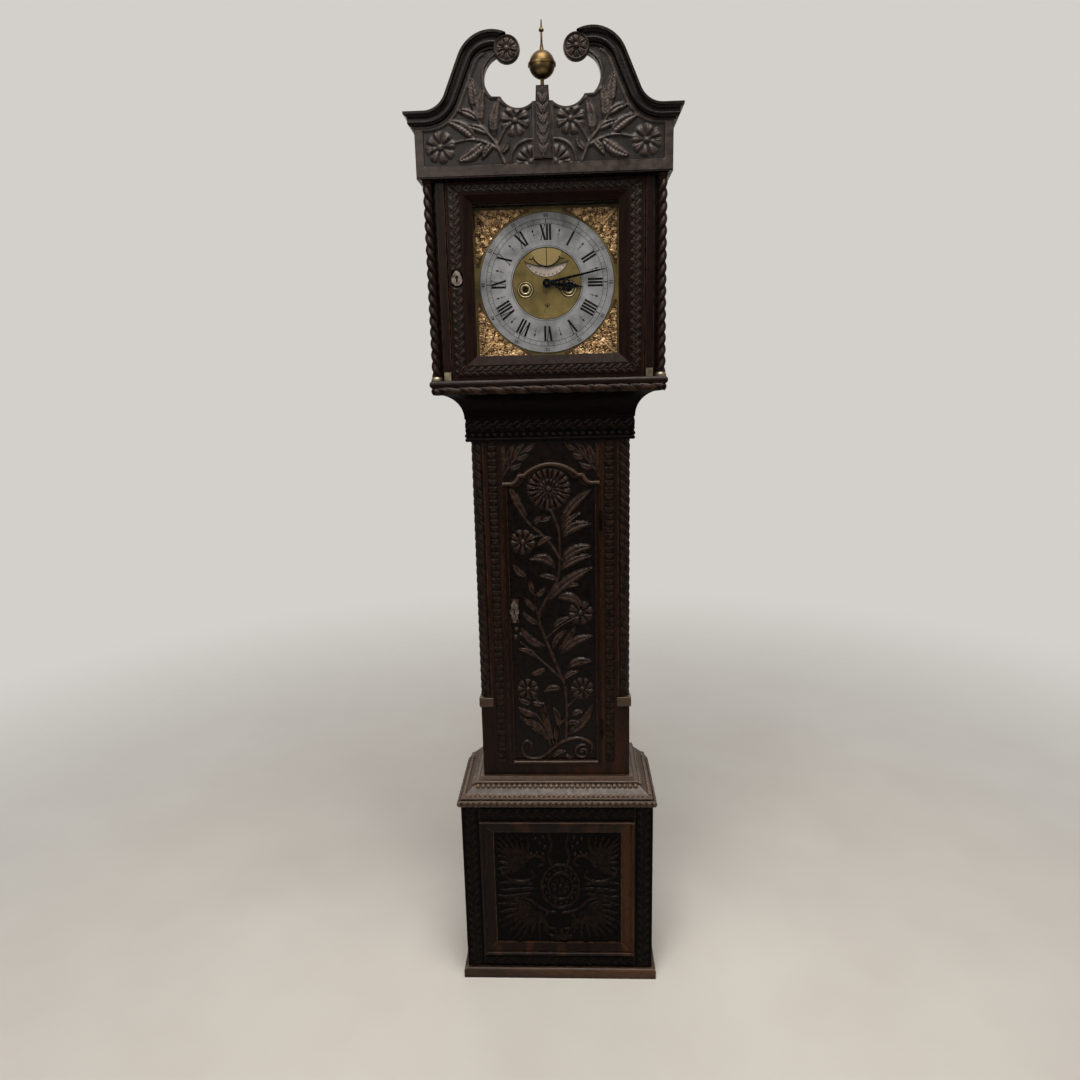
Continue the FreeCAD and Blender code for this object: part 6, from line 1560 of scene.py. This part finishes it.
# %% Plate marks
HOLE_X, HOLE_DROP = 45.5, 11.3  # winding holes either side of and below the centre
CRESCENT = ((49.06, 62.56, 110.4, 249.6), (101.7, 136.2, 153.1, 206.9))  # radius, rise, start and end
LEAF_FOOT, LEAF_LONG = -48, 10  # the flourish, from the dial centre
plate_marks = [bar(0, (0, 36), (0, 72), 1.5)]
for radius, rise, start, end in CRESCENT:
    plate_marks += circle_line(radius, 1.1, start, end, rise, steps=40)
plate_marks += circle_line(ARCH_RADIUS / MM + 0.1, 2.8, 120, 240, ARCH_RISE / MM, steps=40)
for sign, first, last in ((-1, 98, 210), (1, 150, 262)):
    plate_marks += circle_line(6.5, 2.4, first, last, 55.5, steps=16, shift=sign * 33.0)
    for radius in (12.4, 17.0):
        plate_marks += circle_line(radius, 1.2, rise=-HOLE_DROP, steps=48, shift=sign * HOLE_X)
plate_marks += circle_line(72.2, 1.2)
for lean in np.radians((-40, 0, 40)):
    tip = (LEAF_LONG * math.sin(lean), LEAF_FOOT + LEAF_LONG * math.cos(lean))
    middle = (tip[0] / 2, (tip[1] + LEAF_FOOT) / 2)
    plate_marks += [bar(0, (0, LEAF_FOOT), middle, 0.5, 2.4), bar(0, middle, tip, 2.4, 0.3)]
plate_marks += circle_line(6, 0.7, 200, 430, -54, steps=20)
marks("plate_lines", plate_marks, plate_face, "brass")


# %% Collars and squares of the winding holes
def ring(radius, thick, spot, segments, sides):
    """A torus that faces the room, its middle given in millimetres."""
    piece = primitive("torus", major_segments=segments, minor_segments=sides, major_radius=radius * MM,
                      minor_radius=thick * MM, location=Vector(spot) * MM, rotation=FACING_OUT)
    bpy.ops.object.shade_smooth()
    return piece


hole_z = dial_z - HOLE_DROP
collars = [ring(radius, thick, (x, plate_face, hole_z), 48, 10)
           for x in (-HOLE_X, HOLE_X) for radius, thick in ((8.8, 2.4), (14.7, 1.2))]
dress(join_pieces(collars, "winding_collars"), collar_brass, "case", "brass")

END, END_THICK, SQUARE, SQUARE_OUT = 4.9, 0.6, 4.6, 0.9  # end of an arbor and the key's square, dark as painted shade in the winding hole
for train, x in (("going", HOLE_X), ("strike", -HOLE_X)):
    front = mm_box(train + "_barrel")[0][1]
    half = SQUARE / 2
    arbor_end = primitive("cylinder", vertices=40, radius=END * MM, depth=END_THICK * MM, rotation=FACING_OUT,
                          location=(x * MM, front * MM, hole_z * MM))
    square = block((x - half, front - SQUARE_OUT, hole_z - half),
                   (x + half, front + SQUARE_OUT, hole_z + half))
    squares = join_pieces([arbor_end, square], train + "_winding_square")
    dress(squares, shade_dark_brass, train + "_barrel_set", "brass")

# %% [markdown]
# ## Spandrels
# Gilt castings fill the corners of the dial with scrolling leaves. A corner is drawn once in a frame that
# runs along its own diagonal, so both halves mirror, and it is used at all four corners.

# %% Spandrels
outer = mm_box("dial_spandrels")[1][0]
CURL, LEG = 9.5, 34.0  # pitch of the small scrolls, and how near the legs come to the middle
CURL_START, CURL_END, PER_ROW = 140, 212, 9  # rows of scrolls along the diagonal, and scrolls in a row


def spandrel_relief(u, v):
    p, q = np.abs(u), np.abs(v - dial_z)
    along, side = (p + q) / math.sqrt(2), np.abs(p - q) / math.sqrt(2)
    h = 0.2 + 0.3 * np.abs(punched(u, v, 2.2))
    for row, level in enumerate(np.arange(CURL_START, CURL_END, CURL * 0.86)):
        for step in range(PER_ROW):
            centre = (CURL * (step + 0.5 * (row % 2)) + 2, level)
            turn = 2.4 * step + 1.7 * row
            spiral(side, along, h, centre, CURL * 0.46, 1.15, turn, 1.5, 2.6)
            tip = (centre[0] + CURL * 0.72 * math.cos(turn + 0.8), level + CURL * 0.72 * math.sin(turn + 0.8))
            leaf(side, along, h, centre, tip, 4.4, 2.8)
    leaf(side, along, h, (0, 160), (0, 205), 13, 3.2)
    return h


def in_corner(sign_x, sign_z):
    def keep(u, v):
        p, q = u * sign_x, (v - dial_z) * sign_z
        return (p < outer) & (q < outer) & (np.hypot(p, q) > ring_radius + 2.5) & (np.minimum(p, q) > LEG)
    return keep


corners = []
for sign_x in (-1, 1):
    for sign_z in (-1, 1):
        across = sorted((sign_x * (LEG - 1), sign_x * outer))
        upward = sorted((dial_z + sign_z * (LEG - 1), dial_z + sign_z * outer))
        corners.append(carved("spandrel", "case", across, upward, 0.9, front_of(plate_face), spandrel_relief,
                              gilt_carved, back=-0.05, keep=in_corner(sign_x, sign_z), crest=2.6,
                              slot_name="gilt_brass"))
spandrels = join_pieces(corners, "cast_spandrels")
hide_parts("dial_spandrels")

# %% [markdown]
# ## The hour hand
# The hour hand widens into a pierced leaf. Four pairs of flattened rings beside the blade give the
# openwork.

# %% Hour hand openwork
HOUR_ANGLE, HAND_THICK = 96.5, 1.4  # where the hand points, in degrees from twelve
hand_y = mm_box("hour_hand")[0][1] + HAND_THICK / 2
loops = []
for out, side, radius, thick in ((30, 5.5, 4.6, 1.5), (42, 5.2, 5.2, 1.6), (52, 3.2, 3.2, 1.2),
                                 (22, 3.6, 3.0, 1.1)):
    for sign in (-1, 1):
        [(x, z)] = on_dial(HOUR_ANGLE, (sign * side, out))
        loop = ring(radius, thick, (x, hand_y, z), 28, 8)
        loop.scale = (1, 1, HAND_THICK / (2 * thick))
        loops.append(loop)
dress(join_pieces(loops, "hour_hand_openwork"), blued, "hour_set", "blued_steel")

# %% [markdown]
# ## Gut lines
# Each weight hangs on a gut line that runs from its barrel down round the pulley and up to the seatboard.
# As the weight rises, the two straight lengths shorten and the turn round the pulley goes with it. Here
# each line is a tube at one height: a length down round the pulley and a length back up to the seatboard.

# %% Gut lines
LINE = 1.0  # radius of the gut
seat_top = mm_box("seatboard")[1][2]
for train, side in (("going", 1), ("strike", -1)):
    line_low, line_high = mm_box(train + "_line")
    inner_x, outer_x = sorted((abs(line_low[0] + LINE), abs(line_high[0] - LINE)))
    turn, middle = (outer_x - inner_x) / 2, (inner_x + outer_x) / 2
    line_y, axle, top = (line_low[1] + line_high[1]) / 2, line_low[2] + LINE + turn, line_high[2]
    under = [(side * (middle - turn * math.cos(a)), line_y, axle - turn * math.sin(a))
             for a in np.linspace(0, math.pi, 25)]
    fall = bead_along(train + "_fall", None, [(side * inner_x, line_y, top)] + under, LINE, gut, "gut")
    back_up = [(side * outer_x, line_y, axle), (side * outer_x, line_y, seat_top)]
    rise = bead_along(train + "_rise", None, back_up, LINE, gut, "gut")
    for piece, head in ((fall, top), (rise, seat_top)):
        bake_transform(piece)
    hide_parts(train + "_line")
